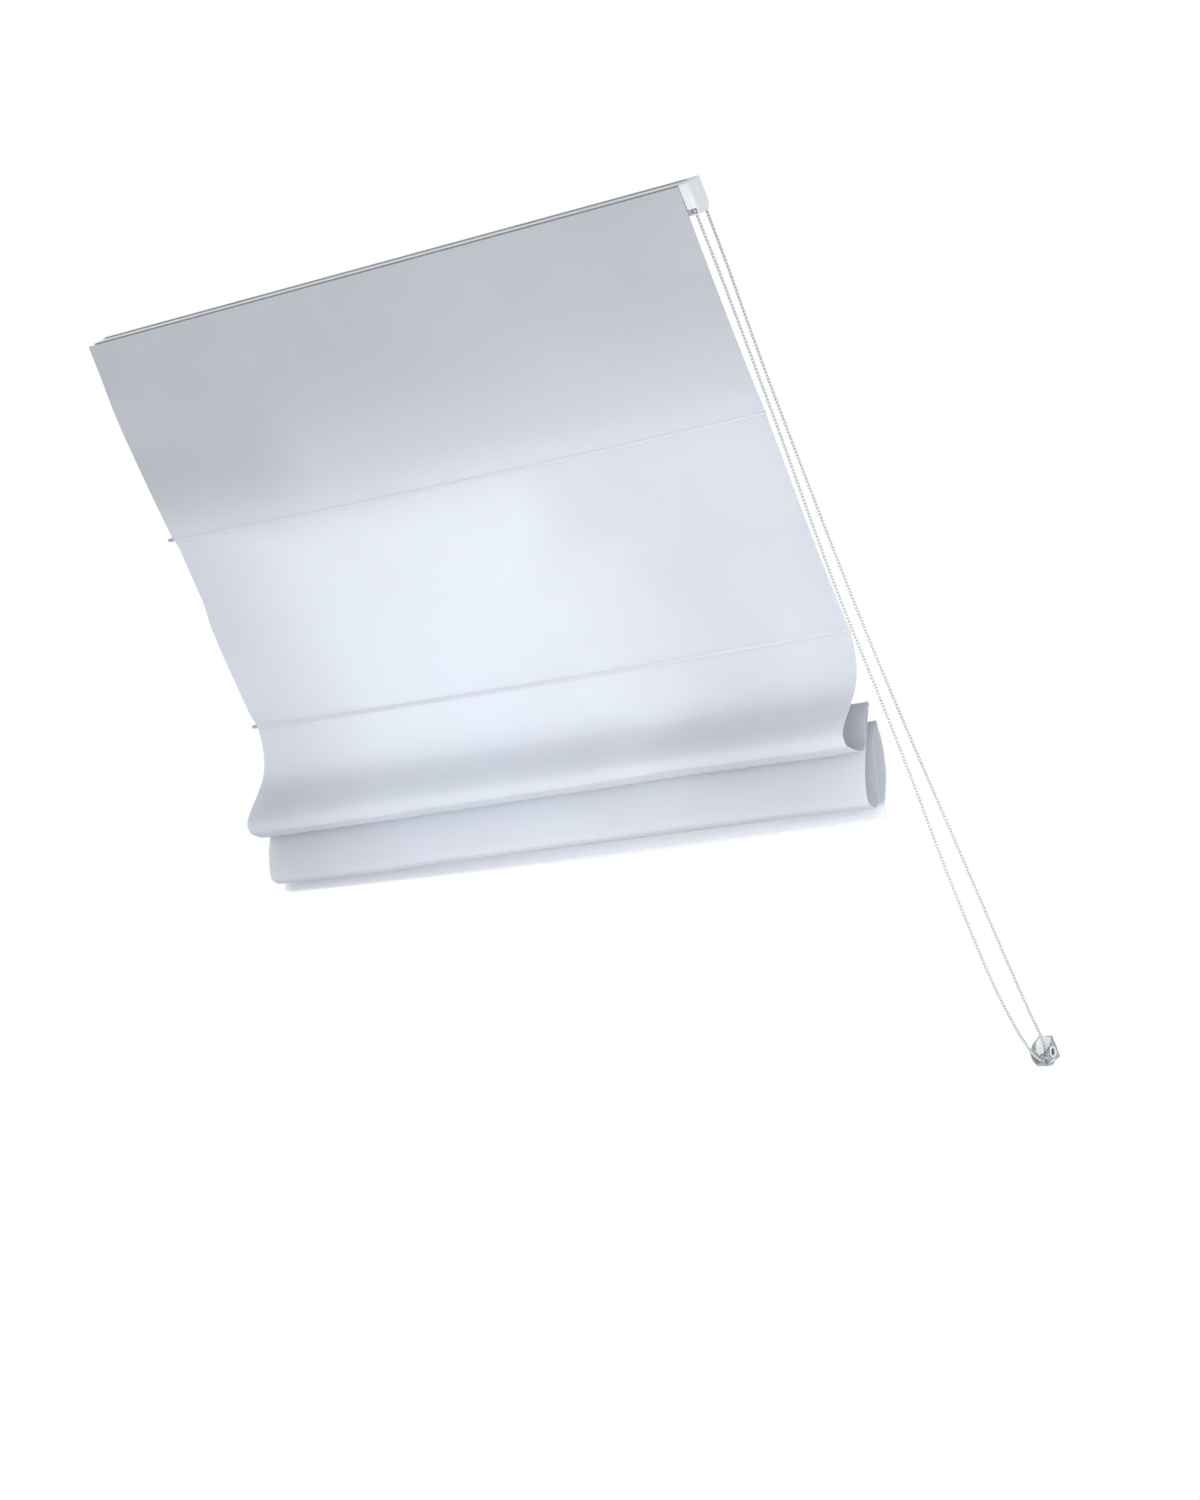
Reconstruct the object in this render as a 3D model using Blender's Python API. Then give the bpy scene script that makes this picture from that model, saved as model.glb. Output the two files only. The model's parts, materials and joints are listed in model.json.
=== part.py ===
"""Chain-operated Roman blind for a roof window, hanging partly raised on a sloping wall.

Everything is laid out in roof coordinates, which an empty tilts into place:
x runs along the headrail towards the chain, y runs down the slope, z runs into the roof.
The wall is the plane z = 0 and the upper edge of the headrail is y = 0. Sizes are metres.
"""

import math

import bmesh
import bpy
from mathutils import Vector

# Place and cloth
ROOF_PITCH = math.radians(54.0)
FABRIC_WIDTH = 1.0
CLOTH = 0.0005
FACE_DEPTH = 0.028
GAP = 0.0003
FIRST_DROP = 0.289
ROD_SPACING = 0.2905
ROD_BOW = 0.004
BILLOW = 0.003
STATIONS = 7

# Folding rods and what is on them
ROD_RADIUS = 0.00175
ROD_TIP_LENGTH = 0.011
ROD_TIP_THICKNESS = 0.0018
ROD_TIP_TAPER = 0.002
ROD_TIP_NOSE = 0.7
ROD_TIP_EDGE = 0.0006
SLEEVE_WALL = 0.0004
SLEEVE_LENGTH = 0.0065
POCKET_SHORT_OF_EDGE = 0.006
RING_RADIUS = 0.00375
RING_WIRE = 0.00075
CORD_RADIUS = 0.0006
CORD_INSET = 0.13
HEM_BAR_HEIGHT = 0.012
HEM_BAR_THICKNESS = 0.0022
HEM_CAP_LENGTH = 0.009
HEM_CAP_ROUNDING = 0.0015
HEM_BAR_SHIFT = -0.010
HEM_TURN_BACK = 0.0022

# Headrail
RAIL_DEPTH = 0.0234
RAIL_HEIGHT = 0.038
RAIL_WALL = 0.0013
RAIL_LIP = 0.0016
RAIL_LEFT_INSET = 0.0135
BRACKET_SHEET = 0.0015
BRACKET_WIDTH = 0.030
BRACKET_X = 0.25
BRACKET_HOOK = 0.003
BRACKET_CATCH = 0.0014
WALL_SCREW_RADIUS = 0.0022
END_CAP_WALL = 0.0017
END_CAP_PLUG = 0.006
END_CAP_CHAMFER = 0.0035

# Drive
AXIS_DROP = 0.019
SHAFT_ACROSS_FLATS = 0.005
BEARING_LENGTH = 0.006
SPOOL_LENGTH = 0.040
SPOOL_DRUM_RADIUS = 0.007
SPOOL_FLANGE_RADIUS = 0.009
SPOOL_FLANGE = 0.001
SPOOL_JOURNAL_RADIUS = 0.0045
SPOOL_JOURNAL_LENGTH = 0.0028
CRADLE_WALL = 0.0016
CRADLE_CREST = 0.0072
CORD_SLOT = 0.0036
BEAD_PITCH = 0.0043
BEAD_RADIUS = 0.0016
WHEEL_POCKETS = 16
WHEEL_FLANGE = 0.0012
WHEEL_FLANGE_RADIUS = 0.012
CHAIN_OUTBOARD = 0.0073
HOUSING_WIDTH = 0.0140
HOUSING_WALL = 0.0014
HOUSING_BACK_WALL = 0.0006
HOUSING_OVERHANG = 0.0012
HOUSING_CHAMFER = 0.0065
HOUSING_CORNER = 0.0042
HOUSING_FRONT_DROP = 0.0295
HUB_PLATE = 0.0015
HUB_PLUG = 0.012
HUB_SPIGOT_RADIUS = 0.006
HUB_SPIGOT_LENGTH = 0.018
BRAKE_WIRE_RADIUS = 0.0005
BRAKE_TURNS = 6

# Chain tensioner
TENSIONER_X = 0.541
TENSIONER_WIDTH = 0.0125
TENSIONER_SHEET = 0.0016
TENSIONER_TOP = 1.1790
TENSIONER_FOOT = 0.0305
TENSIONER_SHOULDER = 0.0059
TENSIONER_MOUTH_DEPTH = 0.031
BELLY_DROP = 1.184
BELLY_DEPTH = 0.0175
BELLY_RADIUS = 0.0255
BELLY_FIRST = -12
BELLY_LAST = 95
TROUGH_FIRST = 28
GUIDE_DROP = 1.1965
GUIDE_DEPTH = 0.0240
GUIDE_RADIUS = 0.0070
GUIDE_LEAN = 38
SADDLE_LENGTH = 0.0175
NEAR_CHEEK_DEPTH = 0.0275
SCREW_DEPTH = 0.0122
SCREW_DROP = 1.1957
SCREW_BOSS_RADIUS = 0.0073
SCREW_BOSS_HEIGHT = 0.0044
SCREW_SLEEVE_RADIUS = 0.0028
SCREW_HEAD_RADIUS = 0.0047
SCREW_HEAD_HEIGHT = 0.0016
SCREW_HEAD_CROWN = 0.6
SCREW_SHANK_RADIUS = 0.0019

# How the two gathered rods hang: metres towards the wall and metres down, each from the rod above
ROD_3_HANG = (0.040, 0.087)
ROD_4_HANG = (0.017, 0.021)

# How the folds hang from a rod: metres towards the wall and metres down, from that rod
PANEL_3_FRONT = (
    (0.008, 0.022), (0.0128, 0.048), (0.0095, 0.075), (-0.002, 0.102),
    (-0.014, 0.126), (-0.0180, 0.142), (-0.0120, 0.1530), (-0.0040, 0.1555),
)
PANEL_3_REAR = (
    (-0.0034, 0.1556), (0.012, 0.1565), (0.0250, 0.1525), (0.0290, 0.143),
    (0.0290, 0.124), (0.0300, 0.104),
)
PANEL_4_FRONT = (
    (-0.0040, 0.018), (-0.0085, 0.052), (-0.0112, 0.088), (-0.0090, 0.115),
    (-0.0045, 0.1270), (0.0035, 0.1305),
)
PANEL_4_REAR = (
    (0.0041, 0.1306), (0.0120, 0.1300), (0.0170, 0.121), (0.0160, 0.100),
    (0.0110, 0.070), (0.0080, 0.042),
)
HEM_STRIP = ((0.006, 0.016), (0.013, 0.036), (0.0165, 0.062), (0.0145, 0.088), (0.0120, 0.104))

# Chain route below the housing and above the tensioner: metres down the slope, metres from the wall
REAR_STRAND = (
    (0.058, 0.0033), (0.109, 0.0060), (0.180, 0.0120), (0.260, 0.0180), (0.364, 0.0230),
    (0.469, 0.0270), (0.575, 0.0300), (0.687, 0.0293), (0.800, 0.0272), (0.915, 0.0240),
    (1.032, 0.0210), (1.110, 0.0185), (1.148, 0.0160), (1.176, 0.0138),
)
FRONT_STRAND = (
    (1.1880, 0.0392), (1.1780, 0.0452), (1.1670, 0.0490), (1.143, 0.0557), (1.111, 0.0612),
    (1.079, 0.0653), (1.035, 0.0678), (0.963, 0.0675), (0.905, 0.0665), (0.852, 0.0640),
    (0.790, 0.0600), (0.689, 0.0563), (0.569, 0.0548), (0.477, 0.0510), (0.362, 0.0420),
    (0.290, 0.0365), (0.208, 0.0315), (0.118, 0.0268), (0.065, 0.0252),
)

# Sizes that follow from the ones above
HALF_WIDTH = FABRIC_WIDTH / 2
CLOTH_PLANE = -FACE_DEPTH + CLOTH / 2
POCKET_RADIUS = ROD_RADIUS + GAP + CLOTH / 2
ROD_PLANE = CLOTH_PLANE + POCKET_RADIUS
RAIL_BACK = -BRACKET_SHEET - GAP
RAIL_FRONT = RAIL_BACK - RAIL_DEPTH
RAIL_STEP = BRACKET_SHEET + GAP
RAIL_STEP_PLANE = RAIL_BACK - BRACKET_HOOK - GAP
INNER_TOP = RAIL_STEP + RAIL_WALL
CORD_X = (-HALF_WIDTH + CORD_INSET, 0.0, HALF_WIDTH - CORD_INSET)
AXIS_PLANE = (RAIL_BACK + RAIL_FRONT) / 2
RAIL_LEFT = -HALF_WIDTH + RAIL_LEFT_INSET
RAIL_RIGHT = HALF_WIDTH + GAP
HOUSING_LEFT = RAIL_RIGHT + GAP
HOUSING_RIGHT = HALF_WIDTH + HOUSING_WIDTH
CHAIN_X = HALF_WIDTH + CHAIN_OUTBOARD
WHEEL_RADIUS = WHEEL_POCKETS * BEAD_PITCH / (2 * math.pi)
SHAFT_RADIUS = SHAFT_ACROSS_FLATS / math.sqrt(3)
SHAFT_BORE = SHAFT_RADIUS + GAP
RING_PLANE = ROD_PLANE + POCKET_RADIUS + CLOTH / 2 + GAP + RING_RADIUS + RING_WIRE


def empty(name, parent=None, place=(0, 0, 0)):
    """An empty that carries the pieces of one moving body."""
    obj = bpy.data.objects.new(name, None)
    obj.empty_display_size = 0.02
    obj.location = place
    obj.parent = parent
    bpy.context.scene.collection.objects.link(obj)
    return obj


def finish(name, colour, roughness, metallic=0.0, alpha=1.0):
    material = bpy.data.materials.new(name)
    material.use_nodes = True
    shader = material.node_tree.nodes["Principled BSDF"]
    shader.inputs["Base Color"].default_value = (*colour, 1.0)
    shader.inputs["Roughness"].default_value = roughness
    shader.inputs["Metallic"].default_value = metallic
    shader.inputs["Alpha"].default_value = alpha
    return material


def solid(name, points, faces, material, body, smooth=False):
    """A mesh object from points in roof coordinates, with its origin on its body's empty."""
    origin = body.location if body.parent else Vector((0, 0, 0))
    mesh = bpy.data.meshes.new(name)
    mesh.from_pydata([Vector(p) - origin for p in points], [], faces)
    work = bmesh.new()
    work.from_mesh(mesh)
    bmesh.ops.recalc_face_normals(work, faces=work.faces)
    work.to_mesh(mesh)
    work.free()
    if smooth:
        mesh.shade_smooth()
        mesh.set_sharp_from_angle(angle=math.radians(35))
    mesh.materials.append(material)
    obj = bpy.data.objects.new(name, mesh)
    obj.parent = body
    bpy.context.scene.collection.objects.link(obj)
    return obj


def prism(name, outline, low, high, material, body, axis="X", smooth=False):
    """A closed outline pushed along one axis: (y, z) outlines along X, (x, y) outlines along Z."""
    def at(point, level):
        return (level, *point) if axis == "X" else (*point, level)

    count = len(outline)
    points = [at(p, low) for p in outline] + [at(p, high) for p in outline]
    faces = [(i, (i + 1) % count, count + (i + 1) % count, count + i) for i in range(count)]
    faces += [tuple(range(count)), tuple(range(count, 2 * count))]
    return solid(name, points, faces, material, body, smooth)


def rings(name, loops, material, body, closed=False, smooth=True):
    """A skin over loops of equally many points, capped at both ends or closed on itself."""
    count = len(loops[0])
    points = [p for loop in loops for p in loop]
    faces = []
    for k in range(len(loops) if closed else len(loops) - 1):
        here, there = k * count, (k + 1) % len(loops) * count
        faces += [
            (here + i, here + (i + 1) % count, there + (i + 1) % count, there + i)
            for i in range(count)
        ]
    if not closed:
        faces += [tuple(range(count)), tuple(range(len(points) - count, len(points)))]
    return solid(name, points, faces, material, body, smooth)


def circle(radius, count, centre=(0.0, 0.0), turn=0.0):
    """Points of a circle or polygon in the (y, z) plane."""
    return [
        (
            centre[0] + radius * math.cos(turn + 2 * math.pi * i / count),
            centre[1] + radius * math.sin(turn + 2 * math.pi * i / count),
        )
        for i in range(count)
    ]


def turned(name, profile, bore, count, centre, x, material, body):
    """A part turned about the X axis from (x, radius) steps, with a straight bore through it."""
    loops = [[(x + along, *p) for p in circle(radius, count, centre)] for along, radius in profile]
    ends = (profile[-1][0], profile[0][0])
    loops += [[(x + along, *p) for p in circle(bore, count, centre)] for along in ends]
    return rings(name, loops, material, body, closed=True)


def rod_between(name, radius, count, centre, low, high, material, body, turn=0.0):
    """A straight bar along X with a round or many-sided section."""
    loops = [[(x, *p) for p in circle(radius, count, centre, turn)] for x in (low, high)]
    return rings(name, loops, material, body, smooth=count > 6)


def combine(obj, tool, operation):
    """Joins a helper to an object, or cuts it away, and hides the helper."""
    tool.hide_render = True
    tool.display_type = "WIRE"
    modifier = obj.modifiers.new(tool.name, "BOOLEAN")
    modifier.operation = operation
    modifier.solver = "EXACT"
    modifier.object = tool


def box_outline(y0, y1, z0, z1):
    return [(y0, z0), (y1, z0), (y1, z1), (y0, z1)]


def hang(towards_wall, down):
    """Level and plumb distances as roof coordinates (y, z)."""
    cos, sin = math.cos(ROOF_PITCH), math.sin(ROOF_PITCH)
    return (cos * towards_wall + sin * down, sin * towards_wall - cos * down)


def smooth_path(points, steps=2):
    """A smooth line through the points, with some steps between each pair."""
    ends = [[2 * a - b for a, b in zip(points[i], points[j])] for i, j in ((0, 1), (-1, -2))]
    line = [ends[0], *points, ends[1]]
    path = []
    for a, b, c, d in zip(line, line[1:], line[2:], line[3:]):
        for k in range(steps):
            t = k / steps
            path.append(tuple(
                q + t * (r - p) / 2 + t * t * (2 * p - 5 * q + 4 * r - s) / 2
                + t ** 3 * (3 * q - p - 3 * r + s) / 2
                for p, q, r, s in zip(a, b, c, d)
            ))
    return path + [tuple(points[-1])]


def bow(x):
    """Share of the mid-span sag of the rods at a place along them."""
    return 1 - (x / HALF_WIDTH) ** 2


def rod_place(number):
    """Where a rod hangs, as (y, z): rods 1 and 2 on the slope, rods 3 and 4 gathered under them."""
    y, z = FIRST_DROP, ROD_PLANE
    for k in range(2, number + 1):
        dy, dz = {2: (ROD_SPACING, 0.0), 3: hang(*ROD_3_HANG), 4: hang(*ROD_4_HANG)}[k]
        y, z = y + dy, z + dz
    return y, z


def ribbon(name, path, bow_ends, body, material):
    """Cloth of even thickness along a path in the (y, z) plane, as wide as the blind."""
    normals = []
    for i in range(len(path)):
        a, b = path[max(i - 1, 0)], path[min(i + 1, len(path) - 1)]
        along = Vector((b[0] - a[0], b[1] - a[1])).normalized()
        normals.append((-along.y, along.x))
    lengths = [0.0]
    for a, b in zip(path, path[1:]):
        lengths.append(lengths[-1] + math.dist(a, b))
    count, points = len(path), []
    for k in range(STATIONS):
        x = HALF_WIDTH * (2 * k / (STATIONS - 1) - 1)
        for side in (0.5, -0.5):
            for (y, z), (ny, nz), run in zip(path, normals, lengths):
                share = run / lengths[-1]
                sag = (bow_ends[0] * (1 - share) + bow_ends[1] * share) * bow(x)
                points.append((x, y + sag + side * CLOTH * ny, z + side * CLOTH * nz))
    faces = []

    def corner(k, side, i):
        return (2 * k + side) * count + i

    for k in range(STATIONS - 1):
        for i in range(count - 1):
            for side in (0, 1):
                faces.append((corner(k, side, i), corner(k + 1, side, i),
                              corner(k + 1, side, i + 1), corner(k, side, i + 1)))
        for i in (0, count - 1):
            faces.append((corner(k, 0, i), corner(k + 1, 0, i),
                          corner(k + 1, 1, i), corner(k, 1, i)))
    for k in (0, STATIONS - 1):
        for i in range(count - 1):
            faces.append((corner(k, 0, i), corner(k, 0, i + 1),
                          corner(k, 1, i + 1), corner(k, 1, i)))
    return solid(name, points, faces, material, body)


def pocket_path(centre, turns=9):
    """The loop of cloth round a rod: from the slit behind the sheet, over the top, to the front."""
    reach = POCKET_RADIUS - 1.5 * CLOTH - GAP
    last = 2 * math.pi - math.acos(reach / POCKET_RADIUS)
    return [
        (
            centre[0] - POCKET_RADIUS * math.sin(last * (1 - k / turns)),
            centre[1] - POCKET_RADIUS * math.cos(last * (1 - k / turns)),
        )
        for k in range(turns + 1)
    ]


def offset_from(place, hangs):
    """Level and plumb steps from a place, as points of a path."""
    return [(place[0] + hang(*step)[0], place[1] + hang(*step)[1]) for step in hangs]


def flat_run(start, end, low_share, high_share, steps=4):
    """Part of a panel that lies on the slope between two rods and billows a little towards the room."""
    path = []
    for k in range(steps + 1):
        share = low_share + (high_share - low_share) * k / steps
        path.append((start + share * (end - start), CLOTH_PLANE - BILLOW * math.sin(math.pi * share)))
    return path


def make_finishes():
    return {
        "cloth": finish("cloth", (0.72, 0.74, 0.78), 0.9),
        "white_plastic": finish("white_plastic", (0.80, 0.82, 0.84), 0.4),
        "rail": finish("rail_aluminium", (0.74, 0.76, 0.78), 0.35, 1.0),
        "rod": finish("rod_glass_fibre", (0.78, 0.79, 0.78), 0.45),
        "tip": finish("tip_plastic", (0.33, 0.34, 0.35), 0.5),
        "ring": finish("ring_plastic", (0.80, 0.80, 0.80), 0.35),
        "cord": finish("cord", (0.82, 0.83, 0.84), 0.8),
        "steel": finish("steel", (0.55, 0.56, 0.58), 0.3, 1.0),
        "spool": finish("spool_plastic", (0.62, 0.64, 0.66), 0.4),
        "chain": finish("chain_plastic", (0.80, 0.81, 0.82), 0.3),
        "clear": finish("clear_plastic", (0.80, 0.83, 0.85), 0.1, 0.0, 0.35),
        "screw": finish("screw_steel", (0.12, 0.12, 0.13), 0.35, 1.0),
    }


def make_headrail(root, look):
    """The channel with its lips, the hook band on its front, its left end and its wall brackets."""
    lip_front = RAIL_FRONT + RAIL_WALL + RAIL_LIP
    lip_back = RAIL_BACK - RAIL_WALL - RAIL_LIP
    inner_front, inner_back = RAIL_FRONT + RAIL_WALL, RAIL_BACK - RAIL_WALL
    lip_top = RAIL_HEIGHT - RAIL_WALL
    jog = RAIL_STEP_PLANE - RAIL_WALL
    channel = [
        (0, RAIL_FRONT), (RAIL_HEIGHT, RAIL_FRONT), (RAIL_HEIGHT, lip_front), (lip_top, lip_front),
        (lip_top, inner_front), (RAIL_WALL, inner_front), (RAIL_WALL, jog), (INNER_TOP, jog),
        (INNER_TOP, inner_back), (lip_top, inner_back), (lip_top, lip_back),
        (RAIL_HEIGHT, lip_back), (RAIL_HEIGHT, RAIL_BACK), (RAIL_STEP, RAIL_BACK),
        (RAIL_STEP, RAIL_STEP_PLANE), (0, RAIL_STEP_PLANE),
    ]
    prism("headrail_profile", channel, RAIL_LEFT, RAIL_RIGHT, look["rail"], root)

    band = box_outline(RAIL_WALL, RAIL_HEIGHT * 0.7, -FACE_DEPTH + CLOTH + GAP, RAIL_FRONT - GAP)
    prism("hook_band", band, RAIL_LEFT, HALF_WIDTH - GAP, look["white_plastic"], root)

    front, back, chamfer = RAIL_FRONT, RAIL_BACK, END_CAP_CHAMFER
    face = [(0, front + chamfer), (chamfer, front), (RAIL_HEIGHT - chamfer, front),
            (RAIL_HEIGHT, front + chamfer), (RAIL_HEIGHT, back), (0, back)]
    cap = prism("left_end_cap", face, RAIL_LEFT - END_CAP_WALL - GAP, RAIL_LEFT - GAP,
                look["white_plastic"], root)
    plug = box_outline(INNER_TOP + GAP, lip_top - GAP, inner_front + GAP, inner_back - GAP)
    combine(cap, prism("end_cap_plug", plug, RAIL_LEFT - END_CAP_WALL, RAIL_LEFT + END_CAP_PLUG,
                       look["white_plastic"], root), "UNION")

    bearing_left = RAIL_LEFT + END_CAP_PLUG + GAP
    bearing = prism("shaft_bearing", plug, bearing_left, bearing_left + BEARING_LENGTH,
                    look["white_plastic"], root)
    combine(bearing, rod_between("bearing_bore", SHAFT_BORE, 12, (AXIS_DROP, AXIS_PLANE),
                                 bearing_left - GAP, bearing_left + BEARING_LENGTH + GAP,
                                 look["steel"], root), "DIFFERENCE")
    make_brackets(root, look, lip_back, inner_back)


def make_brackets(root, look, lip_back, inner_back):
    """Two clips of bent strip, which hook into the step along the channel's rear top edge."""
    sheet, low = BRACKET_SHEET, RAIL_HEIGHT + GAP
    catch_front = lip_back - GAP - BRACKET_CATCH
    catch_top = RAIL_HEIGHT - RAIL_WALL - BRACKET_HOOK
    hook_end = RAIL_BACK - BRACKET_HOOK
    hook = [
        (0, 0), (0, hook_end), (sheet, hook_end), (sheet, -sheet), (low, -sheet),
        (low, lip_back - GAP), (catch_top, lip_back - GAP), (catch_top, catch_front),
        (low + sheet, catch_front), (low + sheet, 0),
    ]
    for side, x in (("left", -BRACKET_X), ("right", BRACKET_X)):
        bracket = prism(f"wall_bracket_{side}", hook, x - BRACKET_WIDTH / 2, x + BRACKET_WIDTH / 2,
                        look["steel"], root)
        hole = [(x + y, RAIL_HEIGHT / 2 + z) for y, z in circle(WALL_SCREW_RADIUS, 12)]
        combine(bracket, prism(f"bracket_hole_{side}", hole, -2 * sheet, sheet, look["steel"], root,
                               axis="Z"), "DIFFERENCE")


def make_spools(root, drive, look):
    """Three cord spools on the shaft, each running in a cradle that stands on the channel's lips."""
    half, journal_end = SPOOL_LENGTH / 2, SPOOL_LENGTH / 2 + SPOOL_JOURNAL_LENGTH
    profile = [
        (-journal_end, SPOOL_JOURNAL_RADIUS), (-half, SPOOL_JOURNAL_RADIUS),
        (-half, SPOOL_FLANGE_RADIUS), (-half + SPOOL_FLANGE, SPOOL_FLANGE_RADIUS),
        (-half + 2 * SPOOL_FLANGE, SPOOL_DRUM_RADIUS), (half - 2 * SPOOL_FLANGE, SPOOL_DRUM_RADIUS),
        (half - SPOOL_FLANGE, SPOOL_FLANGE_RADIUS), (half, SPOOL_FLANGE_RADIUS),
        (half, SPOOL_JOURNAL_RADIUS), (journal_end, SPOOL_JOURNAL_RADIUS),
    ]
    axis = (AXIS_DROP, AXIS_PLANE)
    wall_in = half + GAP
    wall_out = wall_in + CRADLE_WALL
    foot = RAIL_HEIGHT - RAIL_WALL - GAP
    crest = AXIS_DROP - CRADLE_CREST
    front, back = RAIL_FRONT + RAIL_WALL + GAP, RAIL_BACK - RAIL_WALL - GAP
    cord_plane = AXIS_PLANE - SPOOL_DRUM_RADIUS - GAP - CORD_RADIUS
    for number, x in enumerate(CORD_X, start=1):
        turned(f"cord_spool_{number}", profile, SHAFT_BORE, 14, axis, x, look["spool"], drive)
        cradle_outline = [
            (x - wall_out, crest), (x - wall_in, crest), (x - wall_in, foot - CRADLE_WALL),
            (x + wall_in, foot - CRADLE_WALL), (x + wall_in, crest), (x + wall_out, crest),
            (x + wall_out, foot), (x - wall_out, foot),
        ]
        cradle = prism(f"spool_cradle_{number}", cradle_outline, front, back,
                       look["white_plastic"], root, axis="Z")
        bore = rod_between(f"cradle_bore_{number}", SPOOL_JOURNAL_RADIUS + GAP, 14, axis,
                           x - 2 * wall_out, x + 2 * wall_out, look["steel"], root)
        combine(cradle, bore, "DIFFERENCE")
        slot = box_outline(foot - 2 * CRADLE_WALL, foot + CRADLE_WALL,
                           cord_plane - CORD_SLOT / 2, cord_plane + CORD_SLOT / 2)
        combine(cradle, prism(f"cord_slot_{number}", slot, x - CORD_SLOT / 2, x + CORD_SLOT / 2,
                              look["steel"], root), "DIFFERENCE")
    return cord_plane


def make_drive(root, drive, look):
    """Shaft, bead wheel, fixed hub with its brake spring, and the housing over them."""
    axis = (AXIS_DROP, AXIS_PLANE)
    wheel_left = CHAIN_X - BEAD_RADIUS - GAP - WHEEL_FLANGE
    wheel_right = CHAIN_X + BEAD_RADIUS + GAP + WHEEL_FLANGE
    shaft_left = RAIL_LEFT + END_CAP_PLUG + 2 * GAP
    rod_between("drive_shaft", SHAFT_RADIUS, 6, axis, shaft_left, wheel_right - GAP,
                look["steel"], drive)

    star, plain, bore = [], [], []
    steps = 4
    for i in range(WHEEL_POCKETS * steps):
        angle = 2 * math.pi * i / (WHEEL_POCKETS * steps)
        dip = BEAD_RADIUS if i % steps in (0, 1) else 0.0
        spot = (math.cos(angle), math.sin(angle))
        star.append([axis[k] + (WHEEL_FLANGE_RADIUS - dip) * spot[k] for k in (0, 1)])
        groove = WHEEL_RADIUS - BEAD_RADIUS - GAP
        plain.append([axis[k] + groove * spot[k] for k in (0, 1)])
        bore.append([axis[k] + SHAFT_BORE * spot[k] for k in (0, 1)])
    inner = (wheel_left + WHEEL_FLANGE, wheel_right - WHEEL_FLANGE)
    stack = [(wheel_left, star), (inner[0], star), (inner[0], plain), (inner[1], plain),
             (inner[1], star), (wheel_right, star), (wheel_right, bore), (wheel_left, bore)]
    rings("chain_wheel", [[(x, *p) for p in loop] for x, loop in stack], look["white_plastic"],
          drive, closed=True, smooth=False)

    plate_left = HOUSING_LEFT + GAP
    plate_right = plate_left + HUB_PLATE
    plug = box_outline(INNER_TOP + GAP, RAIL_HEIGHT - RAIL_WALL - GAP,
                       RAIL_FRONT + RAIL_WALL + GAP, RAIL_BACK - RAIL_WALL - GAP)
    plate = box_outline(RAIL_WALL, RAIL_HEIGHT - HOUSING_CHAMFER, RAIL_FRONT + GAP, RAIL_BACK - GAP)
    neck = box_outline(INNER_TOP + GAP, RAIL_HEIGHT - HOUSING_CHAMFER - GAP,
                       RAIL_FRONT + RAIL_WALL + GAP, RAIL_BACK - RAIL_WALL - GAP)
    hub = prism("clutch_hub", plug, RAIL_RIGHT - HUB_PLUG, RAIL_RIGHT, look["white_plastic"], root)
    combine(hub, prism("hub_plate", plate, plate_left, plate_right, look["white_plastic"], root),
            "UNION")
    combine(hub, prism("hub_neck", neck, RAIL_RIGHT - GAP, plate_left + GAP,
                       look["white_plastic"], root), "UNION")
    boss_radius = HUB_SPIGOT_RADIUS
    spigot_left = RAIL_RIGHT - HUB_PLUG - HUB_SPIGOT_LENGTH
    combine(hub, rod_between("hub_spigot", boss_radius, 14, axis, spigot_left, wheel_left - GAP,
                             look["white_plastic"], root), "UNION")
    combine(hub, rod_between("hub_bore", SHAFT_BORE, 12, axis, spigot_left - GAP, wheel_left,
                             look["steel"], root), "DIFFERENCE")
    make_brake_spring(root, look, axis, spigot_left, boss_radius)
    make_housing(root, look)


def make_brake_spring(root, look, axis, spigot_left, spigot_radius):
    """The wrapped spring that grips the spigot and keeps the cloth from running down."""
    radius = spigot_radius + GAP + BRAKE_WIRE_RADIUS
    pitch = 2 * BRAKE_WIRE_RADIUS + 2 * GAP
    per_turn = 10
    steps = BRAKE_TURNS * per_turn
    start = spigot_left + HUB_SPIGOT_LENGTH - BRAKE_TURNS * pitch - BRAKE_WIRE_RADIUS - GAP
    points = []
    for i in range(steps + 1):
        angle = 2 * math.pi * i / per_turn
        points.append((start + pitch * i / per_turn, axis[0] + radius * math.cos(angle),
                       axis[1] + radius * math.sin(angle)))
    tube("brake_spring", points, BRAKE_WIRE_RADIUS / math.cos(math.pi / 8), look["steel"], root,
         resolution=1)


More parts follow.
